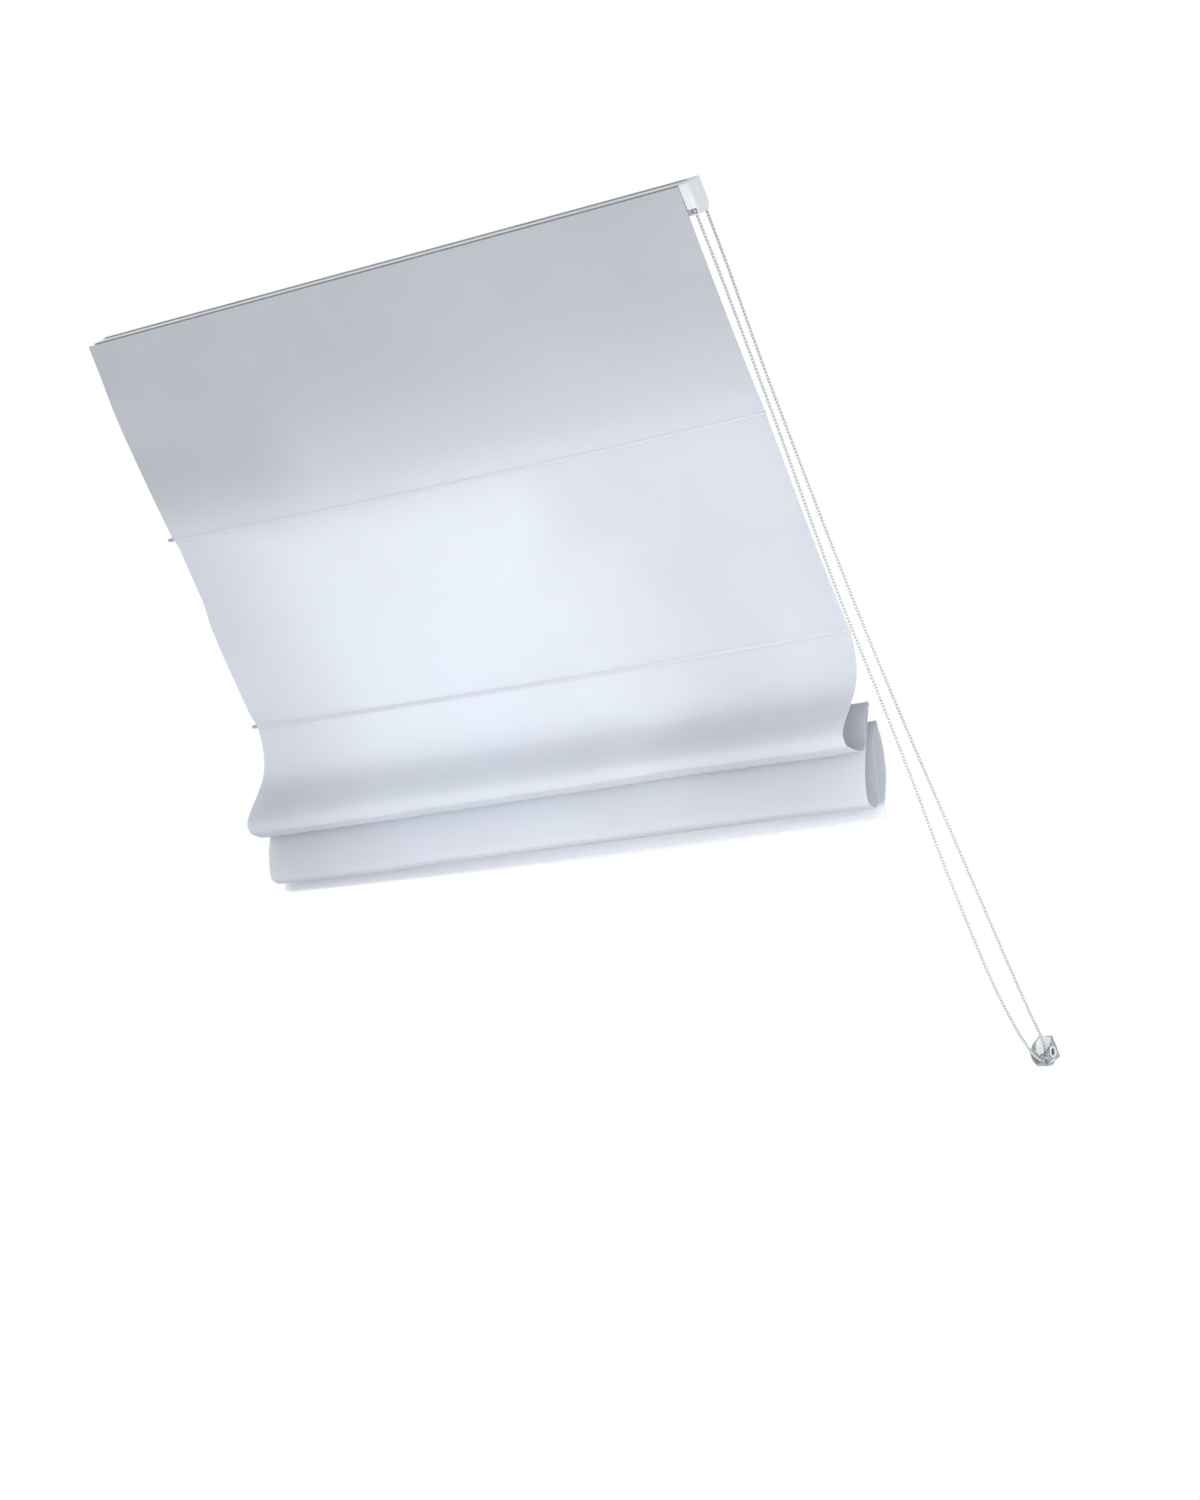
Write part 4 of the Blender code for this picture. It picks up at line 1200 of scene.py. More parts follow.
@dataclass
class BeadChain:
    """The endless bead chain: down behind, round the tensioner, up in front, over the wheel."""

    tensioner_x: float = 0.541
    guide: Pair = (1.1965, -0.0240)
    guide_radius: float = 0.0070
    guide_lean: float = 38.0
    bead_radius: float = 0.0021
    thread_radius: float = 0.0008
    # Metres down the slope and metres from the wall, of the strand behind and of the one in front
    rear: tuple[Pair, ...] = (
        (0.058, 0.0033), (0.109, 0.0060), (0.180, 0.0120), (0.260, 0.0180), (0.364, 0.0230),
        (0.469, 0.0270), (0.575, 0.0300), (0.687, 0.0293), (0.800, 0.0272), (0.915, 0.0240),
        (1.032, 0.0210), (1.110, 0.0185), (1.148, 0.0160), (1.176, 0.0138),
    )
    front: tuple[Pair, ...] = (
        (1.1880, 0.0392), (1.1780, 0.0452), (1.1670, 0.0490), (1.143, 0.0557), (1.111, 0.0612),
        (1.079, 0.0653), (1.035, 0.0678), (0.963, 0.0675), (0.905, 0.0665), (0.852, 0.0640),
        (0.790, 0.0600), (0.689, 0.0563), (0.569, 0.0548), (0.477, 0.0510), (0.362, 0.0420),
        (0.290, 0.0365), (0.208, 0.0315), (0.118, 0.0268), (0.065, 0.0252),
    )

    def x_at(self, drop: float) -> float:
        """Where the chain hangs sideways at a drop."""
        share = (drop - SIZES.axis_drop) / (self.guide[0] - SIZES.axis_drop)
        return SIZES.chain_x + max(0.0, min(1.0, share)) * (self.tensioner_x - SIZES.chain_x)

    def route(self) -> list[Vector]:
        """The chain's centreline, once round, from the housing's underside.

        Returns:
            The line's points in the row frame; the last joins the first.
        """
        wheel = (SIZES.axis_drop, SIZES.axis_plane)
        radius = SIZES.wheel_pockets * SIZES.bead_pitch / TURN
        under = SIZES.rail_height + SIZES.bead_radius
        below_back, below_front = (under, wheel[1] + radius), (under, wheel[1] - radius)
        bottom = arc(self.guide, self.guide_radius, 180, self.guide_lean, 14)
        down = smooth_path([below_back, *((d, -z) for d, z in self.rear), bottom[0]], 4)
        up = smooth_path([bottom[-1], *((d, -z) for d, z in self.front), below_front], 4)
        over = arc(wheel, radius, 360, 180, 18)
        line = down[:-1] + bottom[:-1] + up + over
        return [at(self.x_at(drop), drop, depth) for drop, depth in line]

    def build(self, tree: Growth) -> None:
        """Args:
            tree: The bead string's tree.
        """
        route = self.route()
        length = sum((b - a).length for a, b in zip(route, route[1:] + route[:1]))
        values = {"Beads": round(length / SIZES.bead_pitch), "Bead Radius": self.bead_radius,
                  "Thread Radius": self.thread_radius}
        chain = tree.grow("bead_chain", polyline("bead_line", [route], True), values, Look.CHAIN,
                          "headrail")
        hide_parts("chain_loop")
        LOG.info("chain: %.3f m, %d beads", length, values["Beads"])


# ---------------------------------------------------------------- cloth


@dataclass
class Rows:
    """The line that a panel of cloth follows, with what varies down it."""

    line: list[Pair]
    sag: tuple[float, float]
    edge: tuple[Pair, ...] = STRAIGHT
    rise: tuple[Pair, ...] = ((0.0, 0.0),)
    fold: int = 0
    pocket: int = 0

    def runs(self) -> list[float]:
        """How far down the panel each point lies, along the cloth.

        Returns:
            A length for each point.
        """
        run, runs = 0.0, [0.0]
        for a, b in zip(self.line, self.line[1:]):
            run += math.dist(a, b)
            runs.append(run)
        return runs


@dataclass
class Cloth:
    """The blind's sheet, cut where its moving bodies meet."""

    columns: int = 88
    pocket_steps: int = 26
    flat_steps: int = 46
    ripple: float = 0.0013
    panel_3_front: tuple[Pair, ...] = (
        (0.008, 0.022), (0.0128, 0.048), (0.0095, 0.075), (-0.002, 0.102),
        (-0.014, 0.126), (-0.0180, 0.142), (-0.0120, 0.1530), (-0.0040, 0.1555),
    )
    panel_3_rear: tuple[Pair, ...] = (
        (0.012, 0.1565), (0.0250, 0.1525), (0.0290, 0.143), (0.0290, 0.124), (0.0300, 0.104),
    )
    panel_4_front: tuple[Pair, ...] = (
        (-0.0040, 0.018), (-0.0085, 0.052), (-0.0112, 0.088), (-0.0090, 0.115),
        (-0.0045, 0.1270), (0.0035, 0.1305),
    )
    panel_4_rear: tuple[Pair, ...] = (
        (0.0120, 0.1300), (0.0170, 0.121), (0.0160, 0.100), (0.0110, 0.070), (0.0080, 0.042),
    )
    hem_strip: tuple[Pair, ...] = (
        (0.006, 0.016), (0.013, 0.036), (0.0165, 0.062), (0.0145, 0.088), (0.0120, 0.104),
    )
    bar_height: float = 0.012
    bar_thickness: float = 0.0022
    turn_back: float = 0.0022
    edges: dict[int, tuple[Pair, ...]] = field(default_factory=lambda: {
        1: ((0.0, 0.004), (0.12, 0.003), (0.4, 0.0), (1.0, 0.0)),
        2: ((0.0, 0.0), (0.10, 0.0052), (0.34, 0.0062), (0.5, 0.0), (0.65, -0.002),
            (0.92, -0.002), (1.0, 0.0)),
        4: ((0.0, 0.0), (0.2, -0.0017), (0.8, -0.0017), (1.0, 0.0)),
    })
    # Metres that the folds of the two hanging loops lie higher, along the blind
    rises: dict[int, tuple[Pair, ...]] = field(default_factory=lambda: {
        3: ((-0.49, 0.0006), (-0.373, 0.0021), (-0.30, 0.0046), (-0.158, 0.0066), (-0.02, 0.0073),
            (0.13, 0.0086), (0.26, 0.0091), (0.382, 0.0082), (0.443, 0.0074), (0.49, 0.0078)),
        4: ((-0.45, 0.0026), (-0.332, 0.0024), (-0.259, 0.0040), (-0.187, 0.0056), (-0.05, 0.0064),
            (0.10, 0.0070), (0.20, 0.0082), (0.295, 0.0075), (0.357, 0.0060), (0.42, 0.0047),
            (0.49, 0.0038)),
    })
    closing: Pair = (0.4946, 0.4992)

    # -- lines

    def pocket_loop(self, number: int) -> list[Pair]:
        """The loop round a rod, from its tail behind the sheet over the top to the front.

        Args:
            number: The rod's number.

        Returns:
            The loop's points.
        """
        radius = SIZES.pocket
        reach = radius - 1.5 * SIZES.cloth - SIZES.gap
        last = 360 - math.degrees(math.acos(reach / radius))
        turned = arc((0.0, 0.0), radius, last, 0, self.pocket_steps)
        drop, depth = SIZES.rod(number)
        return [(drop - a, depth + b) for a, b in turned]

    @staticmethod
    def seam(number: int) -> list[Pair]:
        """The shallow groove that the lower row of stitches pulls into the cloth.

        Args:
            number: The rod's number.

        Returns:
            The groove's points.
        """
        drop, depth = SIZES.rod(number)[0], SIZES.rod(number)[1] - SIZES.pocket
        shape = ((0.0010, 0.0), (0.0017, 0.00010), (0.0022, 0.00028), (0.0026, 0.00036),
                 (0.0030, 0.00028), (0.0036, 0.00010), (0.0048, 0.0))
        return [(drop + a, depth + b) for a, b in shape]

    @staticmethod
    def tuck(number: int) -> list[Pair]:
        """The last millimetres of a flat panel, turned in against the next pocket.

        Args:
            number: The next rod's number.

        Returns:
            The points down to the pocket.
        """
        drop, depth = SIZES.rod(number)[0], SIZES.rod(number)[1] - SIZES.pocket
        shape = ((0.0052, 0.0), (0.0040, 0.00004), (0.0032, 0.00014), (0.0026, 0.00030),
                 (0.00215, 0.00047))
        return [(drop - a, depth + b) for a, b in shape]

    def flat(self, top: float, bottom: float, low: float, high: float) -> list[Pair]:
        """A flat panel's line, which billows towards the room.

        Args:
            top: Where the billow starts.
            bottom: Where it ends.
            low: The line's first drop.
            high: Its last drop.

        Returns:
            The line.
        """
        points = []
        for k in range(self.flat_steps + 1):
            drop = low + (high - low) * k / self.flat_steps
            share = (drop - top) / (bottom - top)
            points.append((drop, SIZES.plane - SIZES.billow * math.sin(math.pi * share)))
        return points

    @staticmethod
    def off(place: Pair, steps: Sequence[Pair]) -> list[Pair]:
        """Level and plumb steps from a place, as points of a line."""
        return [(place[0] + hang(*s)[0], place[1] + hang(*s)[1]) for s in steps]

    def over_pocket(self, number: int) -> list[Pair]:
        """A panel's end, which comes up from below and over the front of a pocket.

        Args:
            number: The rod's number.

        Returns:
            The points, from below to above.
        """
        drop, depth = SIZES.rod(number)
        points = []
        for angle in (12, 26, 40, 54, 68, 80):
            clear = SIZES.pocket + SIZES.cloth + SIZES.gap * (0.9 if angle < 70 else 0.3)
            turn = math.radians(angle)
            points.append((drop - clear * math.sin(turn), depth - clear * math.cos(turn)))
        return points

    def panels(self) -> dict[int, Rows]:
        """Each panel's rows, with the number of the row at its fold; the hem strip is 5.

        Returns:
            The rows by panel number.
        """
        bow, first = SIZES.rod_bow, SIZES.first_drop
        second = first + SIZES.rod_spacing
        one = self.flat(0.0, first, 0.0, first - 0.0065)
        two = self.pocket_loop(1) + self.seam(1)
        middle = self.flat_steps // 2
        fold = len(two) + middle
        two += self.flat(first, second, first + 0.0062, second - 0.0065)
        made = {
            1: Rows(one + self.tuck(1), (0.0, bow), self.edges[1], fold=middle),
            2: Rows(two + self.tuck(2), (bow, bow), self.edges[2], fold=fold, pocket=1),
        }
        for number, front, rear in ((3, self.panel_3_front, self.panel_3_rear),
                                    (4, self.panel_4_front, self.panel_4_rear)):
            above = SIZES.rod(number - 1)
            start = self.pocket_loop(number - 1)
            tail = 1
            if number == 3:
                start, tail = start + self.seam(2), 2
            over = self.over_pocket(number)
            line = start[:-tail] + smooth_path(
                start[-tail:] + self.off(above, front + rear) + over[:1], 6)
            fold_point = self.off(above, front)[-1]
            fold = min(range(len(line)), key=lambda i: math.dist(line[i], fold_point))
            made[number] = Rows(line + over[1:], (bow, bow), self.edges.get(number, STRAIGHT),
                                self.rises[number], fold, number - 1)
        made[5] = self.hem_rows()
        return made

    def hem_rows(self) -> Rows:
        """The last strip: the fourth pocket, the strip itself and the tunnel round the bar.

        Returns:
            The strip's rows.
        """
        place = SIZES.rod(4)
        down, wall = Vector(hang(0.0, 1.0)), Vector(hang(1.0, 0.0))
        top = Vector(self.off(place, self.hem_strip)[-1])
        room = (self.bar_thickness + SIZES.cloth) / 2 + SIZES.gap
        low = top + down * (self.bar_height + SIZES.gap)
        turn = [low + wall * room * (1 - math.cos(a)) + down * room * math.sin(a)
                for a in (math.pi * k / 12 for k in range(13))]
        back = [top + wall * 2 * room, top + wall * (room + SIZES.cloth) - down * self.turn_back,
                top + wall * SIZES.cloth * 1.1 - down * 0.006]
        start = self.pocket_loop(4)
        strip = smooth_path(start[-1:] + self.off(place, self.hem_strip), 6)[1:]
        line = start + strip + [tuple(p) for p in turn + back]
        return Rows(line, (SIZES.rod_bow, SIZES.rod_bow), pocket=4)

    # -- surface

    def wave(self, x: float, run: float, seed: float) -> float:
        """The cloth's slight unevenness, about -1 to 1."""
        return (0.50 * math.sin(8.3 * x + 9.0 * run + seed) + 0.30 * math.sin(19.0 * x - 7.0 * run
                + 2.1 * seed) + 0.20 * math.sin(33.0 * x + 21.0 * run + 0.7 * seed))

    def grid(self, rows: Rows, seed: float) -> tuple[list[list[Vector]], list[list[Vector]]]:
        """The middle of a panel and its normals, row by row.

        Args:
            rows: The panel's line.
            seed: Where the unevenness starts.

        Returns:
            The points and the normals, each as rows of columns.
        """
        runs = rows.runs()
        total = runs[-1]
        half = SIZES.half
        flats = []
        for i, (drop, depth) in enumerate(rows.line):
            a, b = rows.line[max(i - 1, 0)], rows.line[min(i + 1, len(rows.line) - 1)]
            along = Vector((b[0] - a[0], b[1] - a[1])).normalized()
            share = runs[i] / total
            fade = between(runs[i], ((0.02, 0.0), (0.09, 1.0)))
            fade *= between(total - runs[i], ((0.015, 0.0), (0.08, 1.0)))
            loosened = self.lift_share(rows, runs, i)
            pressed = rows.pocket and i <= self.pocket_steps
            front = SIZES.rod(rows.pocket)[1] - SIZES.pocket if pressed else None
            row = []
            for j in range(self.columns + 1):
                x = half * (2 * j / self.columns - 1)
                sag = (rows.sag[0] * (1 - share) + rows.sag[1] * share) * SIZES.bow(x)
                lift = self.ripple * fade * self.wave(x, runs[i], seed)
                inward = between(share, rows.edge) * ((half - x) / SIZES.width) ** 7
                up = hang(0.0, -loosened * between(x, rows.rise)) if loosened else (0.0, 0.0)
                flat = depth
                if front is not None:
                    press = 1 - 0.8 * between(x, ((self.closing[0], 0.0), (self.closing[1], 1.0)))
                    flat = front + (depth - front) * press
                row.append(at(x + inward, drop + sag - along.y * lift + up[0],
                              flat + along.x * lift + up[1]))
            flats.append(row)
        normals = []
        last = len(flats) - 1
        for i, row in enumerate(flats):
            line = []
            for j in range(self.columns + 1):
                across = row[min(j + 1, self.columns)] - row[max(j - 1, 0)]
                along = flats[min(i + 1, last)][j] - flats[max(i - 1, 0)][j]
                line.append(across.cross(along).normalized())
            normals.append(line)
        return flats, normals

    @staticmethod
    def lift_share(rows: Rows, runs: Sequence[float], i: int) -> float:
        """How far a row follows its fold where that lies higher, 0 to 1.

        Args:
            rows: The panel's rows.
            runs: How far down each row lies.
            i: The row.

        Returns:
            The share.
        """
        if not rows.fold or len(rows.rise) < 2:
            return 0.0
        fold = runs[rows.fold]
        if i <= rows.fold:
            return between(runs[i], ((0.25 * fold, 0.0), (fold, 1.0)))
        return between(runs[-1] - runs[i], ((0.008, 0.0), (runs[-1] - fold, 1.0)))

    def cut(self, name: str, grid: tuple[list[list[Vector]], list[list[Vector]]], first: int,
            last: int, body: str | None, runs: Sequence[float]) -> bpy.types.Object:
        """One piece of a panel, between two of its rows, with the cloth's thickness.

        Args:
            name: The piece's name.
            grid: The panel's points and normals.
            first: The piece's first row.
            last: Its last row.
            body: The body that it rides on, or None.
            runs: How far down the cloth each row lies.

        Returns:
            The piece.
        """
        points, normals = grid
        shell = Shell()
        count = self.columns + 1
        deep = last - first + 1
        for side in (0.5, -0.5):
            for i in range(first, last + 1):
                for j in range(count):
                    shell.points.append(points[i][j] + side * SIZES.cloth * normals[i][j])
                    shell.uvs.append((SIZES.width * j / self.columns, runs[i]))

        def corner(side: int, i: int, j: int) -> int:
            """A vertex's number."""
            return (side * deep + i) * count + j

        for i in range(deep - 1):
            for j in range(self.columns):
                for side in (0, 1):
                    face = (corner(side, i, j), corner(side, i, j + 1), corner(side, i + 1, j + 1),
                            corner(side, i + 1, j))
                    shell.faces.append(face if side else face[::-1])
            for j in (0, self.columns):
                shell.faces.append((corner(0, i, j), corner(0, i + 1, j), corner(1, i + 1, j),
                                    corner(1, i, j)))
        for j in range(self.columns):
            for i in (0, deep - 1):
                shell.faces.append((corner(0, i, j), corner(0, i, j + 1), corner(1, i, j + 1),
                                    corner(1, i, j)))
        return shell.piece(name, Look.CLOTH, body, 62.0)

    # -- pieces

    def bend_heights(self, number: int) -> tuple[Pair, Pair, Pair]:
        """Where a hanging panel starts to bend, turns at its fold, and reaches the next rod.

        Args:
            number: The panel's number.

        Returns:
            The three places.
        """
        top = SIZES.rod(number - 1)
        rise = {3: self.panel_3_front, 4: self.panel_4_front}[number][-1][1] - 0.0055
        hang_next = {3: SIZES.rod_3_hang, 4: SIZES.rod_4_hang}[number]
        level = [hang(0.0, down) for down in (0.008, rise, hang_next[1] + 0.0065)]
        return tuple((top[0] + a, top[1] + b) for a, b in level)

    def build(self) -> None:
        """Makes all the pieces of cloth."""
        bodies = ["headrail"]
        for word in RODS:
            bodies += [f"fold_{word}", f"rod_{word}"]
        run_start = 0.0
        for number, rows in self.panels().items():
            fold = rows.fold
            runs = [run_start + r for r in rows.runs()]
            run_start = runs[-1]
            grid = self.grid(rows, 1.7 * number)
            if number == 5:
                hem = self.cut("cloth_hem", grid, 0, len(rows.line) - 1, "rod_four", runs)
                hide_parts("hem_panel")
                self.declare(hem, runs[-1] - runs[0], "rod_4")
                continue
            above, middle, below = bodies[2 * number - 2:2 * number + 1]
            last = len(rows.line) - 1
            upper = self.cut(f"cloth_{number}_upper", grid, 0, fold, None, runs)
            lower = self.cut(f"cloth_{number}_lower", grid, fold, last, None, runs)
            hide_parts(f"panel_{number}_upper")
            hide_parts(f"panel_{number}_lower")
            if number <= 2:
                top = 0.036 if number == 1 else SIZES.rod(number - 1)[0] + 0.010
                turn = rows.line[fold][0]
                end = SIZES.rod(number)[0] - 0.010
                bends = ((top, turn - 0.004), (turn + 0.008, end))
                bends = tuple(((a, SIZES.plane), (b, SIZES.plane)) for a, b in bends)
            else:
                high, turn, reach = self.bend_heights(number)
                bends = ((high, turn), (turn, reach))
            for piece, pair, (start, end) in ((upper, (above, middle), bends[0]),
                                              (lower, (middle, below), bends[1])):
                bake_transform(piece)
            self.declare(upper, runs[fold] - runs[0],
                         "hook_tape" if number == 1 else f"rod_{number - 1}")
            self.declare(lower, runs[last] - runs[fold], f"rod_{number}")
        LOG.info("cloth: %.3f m of sheet", run_start)

    @staticmethod
    def declare(piece: bpy.types.Object, length: float, carrier: str) -> None:
        """Takes a piece of the sheet, its length and its carrier, and does nothing with them."""

    @staticmethod
    def sewn_line(drop: float, depth: float) -> list[Vector]:
        """A row of stitches from edge to edge, which sags as the rods do."""
        return [at(x, drop + SIZES.rod_bow * SIZES.bow(x), depth)
                for x in (SIZES.half * (k / 40) * 0.994 for k in range(-40, 41))]

    def stitch_lines(self, number: int) -> list[list[Vector]]:
        """The rows of stitches over and under a rod, on the room side.

        Args:
            number: The rod's number.

        Returns:
            The lines, one for each row of stitches.
        """
        drop, depth = SIZES.rod(number)
        front = depth - SIZES.pocket - SIZES.cloth / 2
        shifts = ((-0.0019, 0.0007), (0.0026, 0.00030)) if number < 3 else ((0.0026, 0.0002),)
        return [self.sewn_line(drop + down, front + inward) for down, inward in shifts]

    def stitch(self, tree: Growth) -> None:
        """Sews each rod's pocket and the hem.

        Args:
            tree: The stitch row's tree.
        """
        for number, word in enumerate(RODS, start=1):
            lines = self.stitch_lines(number)
            if number == 4:
                lines.append(self.hem_line())
            sizes = {"Pitch": 0.0034, "Stitch": 0.0029, "Thread": 0.00036}
            tree.grow(f"stitches_{number}", polyline("stitch_line", lines), sizes, Look.THREAD,
                      f"rod_{word}")

    def hem_line(self) -> list[Vector]:
        """The row of stitches that closes the hem, just over the bar.

        Returns:
            The line's points.
        """
        top = self.off(SIZES.rod(4), self.hem_strip)[-1]
        up, out = hang(0.0, -0.0042), hang(-SIZES.cloth * 0.62, 0.0)
        return self.sewn_line(top[0] + up[0] + out[0], top[1] + up[1] + out[1])


# ---------------------------------------------------------------- rods, rings and cords


@dataclass
class RodFittings:
    """The grey tips, the cord rings and what ties them to the pockets."""

    tip_length: float = 0.011
    tip_thickness: float = 0.0018
    tip_taper: float = 0.002
    tip_nose: float = 0.7
    tip_edge: float = 0.0006
    sleeve_wall: float = 0.0004
    sleeve_length: float = 0.0065
    thread_radius: float = 0.00017
    sides: int = 28

    def tip(self, number: int, body: str) -> None:
        """A grey tip: a round sleeve that flattens into a blade, with a bore for the rod.

        Args:
            number: The rod.
            body: The body that it rides on.
        """
        drop, depth = SIZES.rod(number)
        edge = -SIZES.half - SIZES.gap
        bore = SIZES.rod_radius + SIZES.gap
        sleeve = bore + self.sleeve_wall
        neck, nose = edge - self.sleeve_length, edge - self.tip_length
        shapes = [(edge, sleeve * 0.96, sleeve * 0.96), (edge - 0.0003, sleeve, sleeve)]
        for k in range(5):
            step = edge - 0.0012 - 0.0009 * k
            groove = sleeve * 0.93
            shapes += [(step, sleeve, sleeve), (step - 0.0002, groove, groove),
                       (step - 0.0004, groove, groove), (step - 0.0006, sleeve, sleeve)]
        for k in range(1, 9):
            t = k / 8
            ease = t * t * (3 - 2 * t)
            thick = sleeve + (self.tip_thickness / 2 - sleeve) * ease
            shapes.append((neck + (nose + self.tip_taper - neck) * t, sleeve, thick))
        for k in range(1, 6):
            turn = math.pi / 2 * k / 5
            tall = sleeve * (self.tip_nose + (1 - self.tip_nose) * math.cos(turn))
            thick = self.tip_edge + (self.tip_thickness / 2 - self.tip_edge) * math.cos(turn)
            shapes.append((nose + self.tip_taper * (1 - math.sin(turn)), tall, thick))
        loops = [self.oval(x, drop, depth, bore, bore) for x in (neck, edge)]
        loops += [self.oval(x, drop, depth, tall, thick) for x, tall, thick in shapes]
        shell = Shell()
        shell.skin(loops)
        made = shell.piece(f"tip_{number}", Look.TIP, body, 48.0)
        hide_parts(f"rod_tip_{number}")

    def oval(self, x: float, drop: float, depth: float, tall: float, thick: float) -> list[Vector]:
        """An oval across the rod."""
        return [at(x, drop + tall * math.cos(a), depth + thick * math.sin(a))
                for a in angles(self.sides)]

    @staticmethod
    def ring_places(number: int) -> list[Pair]:
        """The middles of a rod's rings, as (drop, depth), for the three cords.

        Args:
            number: The rod's number.

        Returns:
            A place for each cord.
        """
        drop, depth = SIZES.rod(number)
        return [(drop + SIZES.rod_bow * SIZES.bow(x), depth + SIZES.ring_offset)
                for x in SIZES.cord_x]

    def rings(self, number: int, body: str, tree: Growth) -> None:
        """A rod's three rings, in one piece.

        Args:
            number: The rod.
            body: The body they ride on.
            tree: The rings' tree.
        """
        points = [[at(x, *p)] for x, p in zip(SIZES.cord_x, self.ring_places(number))]
        mesh = polyline("ring_points", points)
        made = tree.grow(f"rings_{number}", mesh, {
            "Ring Radius": SIZES.ring_radius, "Wire Radius": SIZES.ring_wire,
            "Tilt": math.pi / 2 - PITCH,
        }, Look.RING, body)
        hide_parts(*[f"cord_ring_{number}_{k}" for k in (1, 2, 3)])

    def tacks(self, number: int, body: str) -> None:
        """Loops of thread that sew each ring to its pocket.

        Args:
            number: The rod's number.
            body: The body that they ride on.
        """
        shell = Shell()
        for x, (drop, depth) in zip(SIZES.cord_x, self.ring_places(number)):
            front = depth - SIZES.ring_radius
            for side in (-0.0006, -0.0002, 0.0002, 0.0006):
                path = [at(x + side + 0.0001 * math.sin(a), drop + 0.0012 * math.cos(a),
                           front - 0.0003 + 0.0013 * math.sin(a)) for a in angles(16)]
                shell.tube(path, self.thread_radius, 6, True)
        shell.piece(f"ring_tacks_{number}", Look.THREAD, body)


@dataclass
class LiftCords:
    """The three cords that gather the cloth, from their spools to the last rings."""

    fittings: RodFittings
    sides: int = 8
    overlap: float = 0.0006

    def stretch(self, name: str, routes: Sequence[Sequence[Pair]], body: str, joint: str,
                keep: float) -> bpy.types.Object:
        """One stretch of all three cords.

        Args:
            name: The piece's name.
            routes: The stretch's points, for each cord.
            body: The body that its upper end rides on.
            joint: A joint's name; not used.
            keep: The share of its length left at the joint's limit; not used.

        Returns:
            The piece.
        """
        shell = Shell()
        for x, route in zip(SIZES.cord_x, routes):
            path = [at(x, *p) for p in route]
            path[0] += (path[0] - path[1]).normalized() * self.overlap
            path[-1] += (path[-1] - path[-2]).normalized() * self.overlap
            shell.tube(path, SIZES.cord_radius, self.sides)
        made = shell.piece(name, Look.CORD, body)
        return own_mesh(made)

    def knots(self) -> None:
        """The knot under each last ring, with a short tail."""
        shell = Shell()
        for x, (drop, depth) in zip(SIZES.cord_x, self.fittings.ring_places(4)):
            under = drop + SIZES.ring_wire + 0.0021
            path = []
            for turn in angles(48):
                wide = 0.00065 * (2 + math.cos(3 * turn))
                path.append(at(x + wide * math.cos(2 * turn), under + 0.0009 * math.sin(3 * turn),
                               depth + wide * math.sin(2 * turn)))
            shell.tube(path, SIZES.cord_radius, self.sides, True)
            tail = [at(x + 0.0006 + 0.0008 * t, under + 0.0004 + 0.010 * t, depth + 0.002 * t * t)
                    for t in (k / 8 for k in range(9))]
            shell.tube(tail, SIZES.cord_radius * 0.95, self.sides)
        shell.piece("cord_knots", Look.CORD, "rod_four")

    def build(self) -> None:
        """Makes the four stretches and the knots."""
        places = {n: self.fittings.ring_places(n) for n in (1, 2, 3, 4)}
        start = (SIZES.axis_drop, SIZES.cord_plane)
        mouth = (SIZES.rail_height, SIZES.cord_plane)
        top = self.stretch("lift_cords_top", [(start, mouth, p) for p in places[1]], "headrail",
                           "rod_1_lift", 0.13)
        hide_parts(*[f"lift_cord_{k}" for k in (1, 2, 3)])
        for name, n, keep in (("middle", 2, 0.19), ("low", 3, 0.02), ("last", 4, 0.02)):
            self.stretch(f"lift_cords_{name}", list(zip(places[n - 1], places[n])),
                         f"rod_{RODS[n - 2]}", f"rod_{n}_lift", keep)
        self.knots()


# ---------------------------------------------------------------- headrail, drive, tensioner


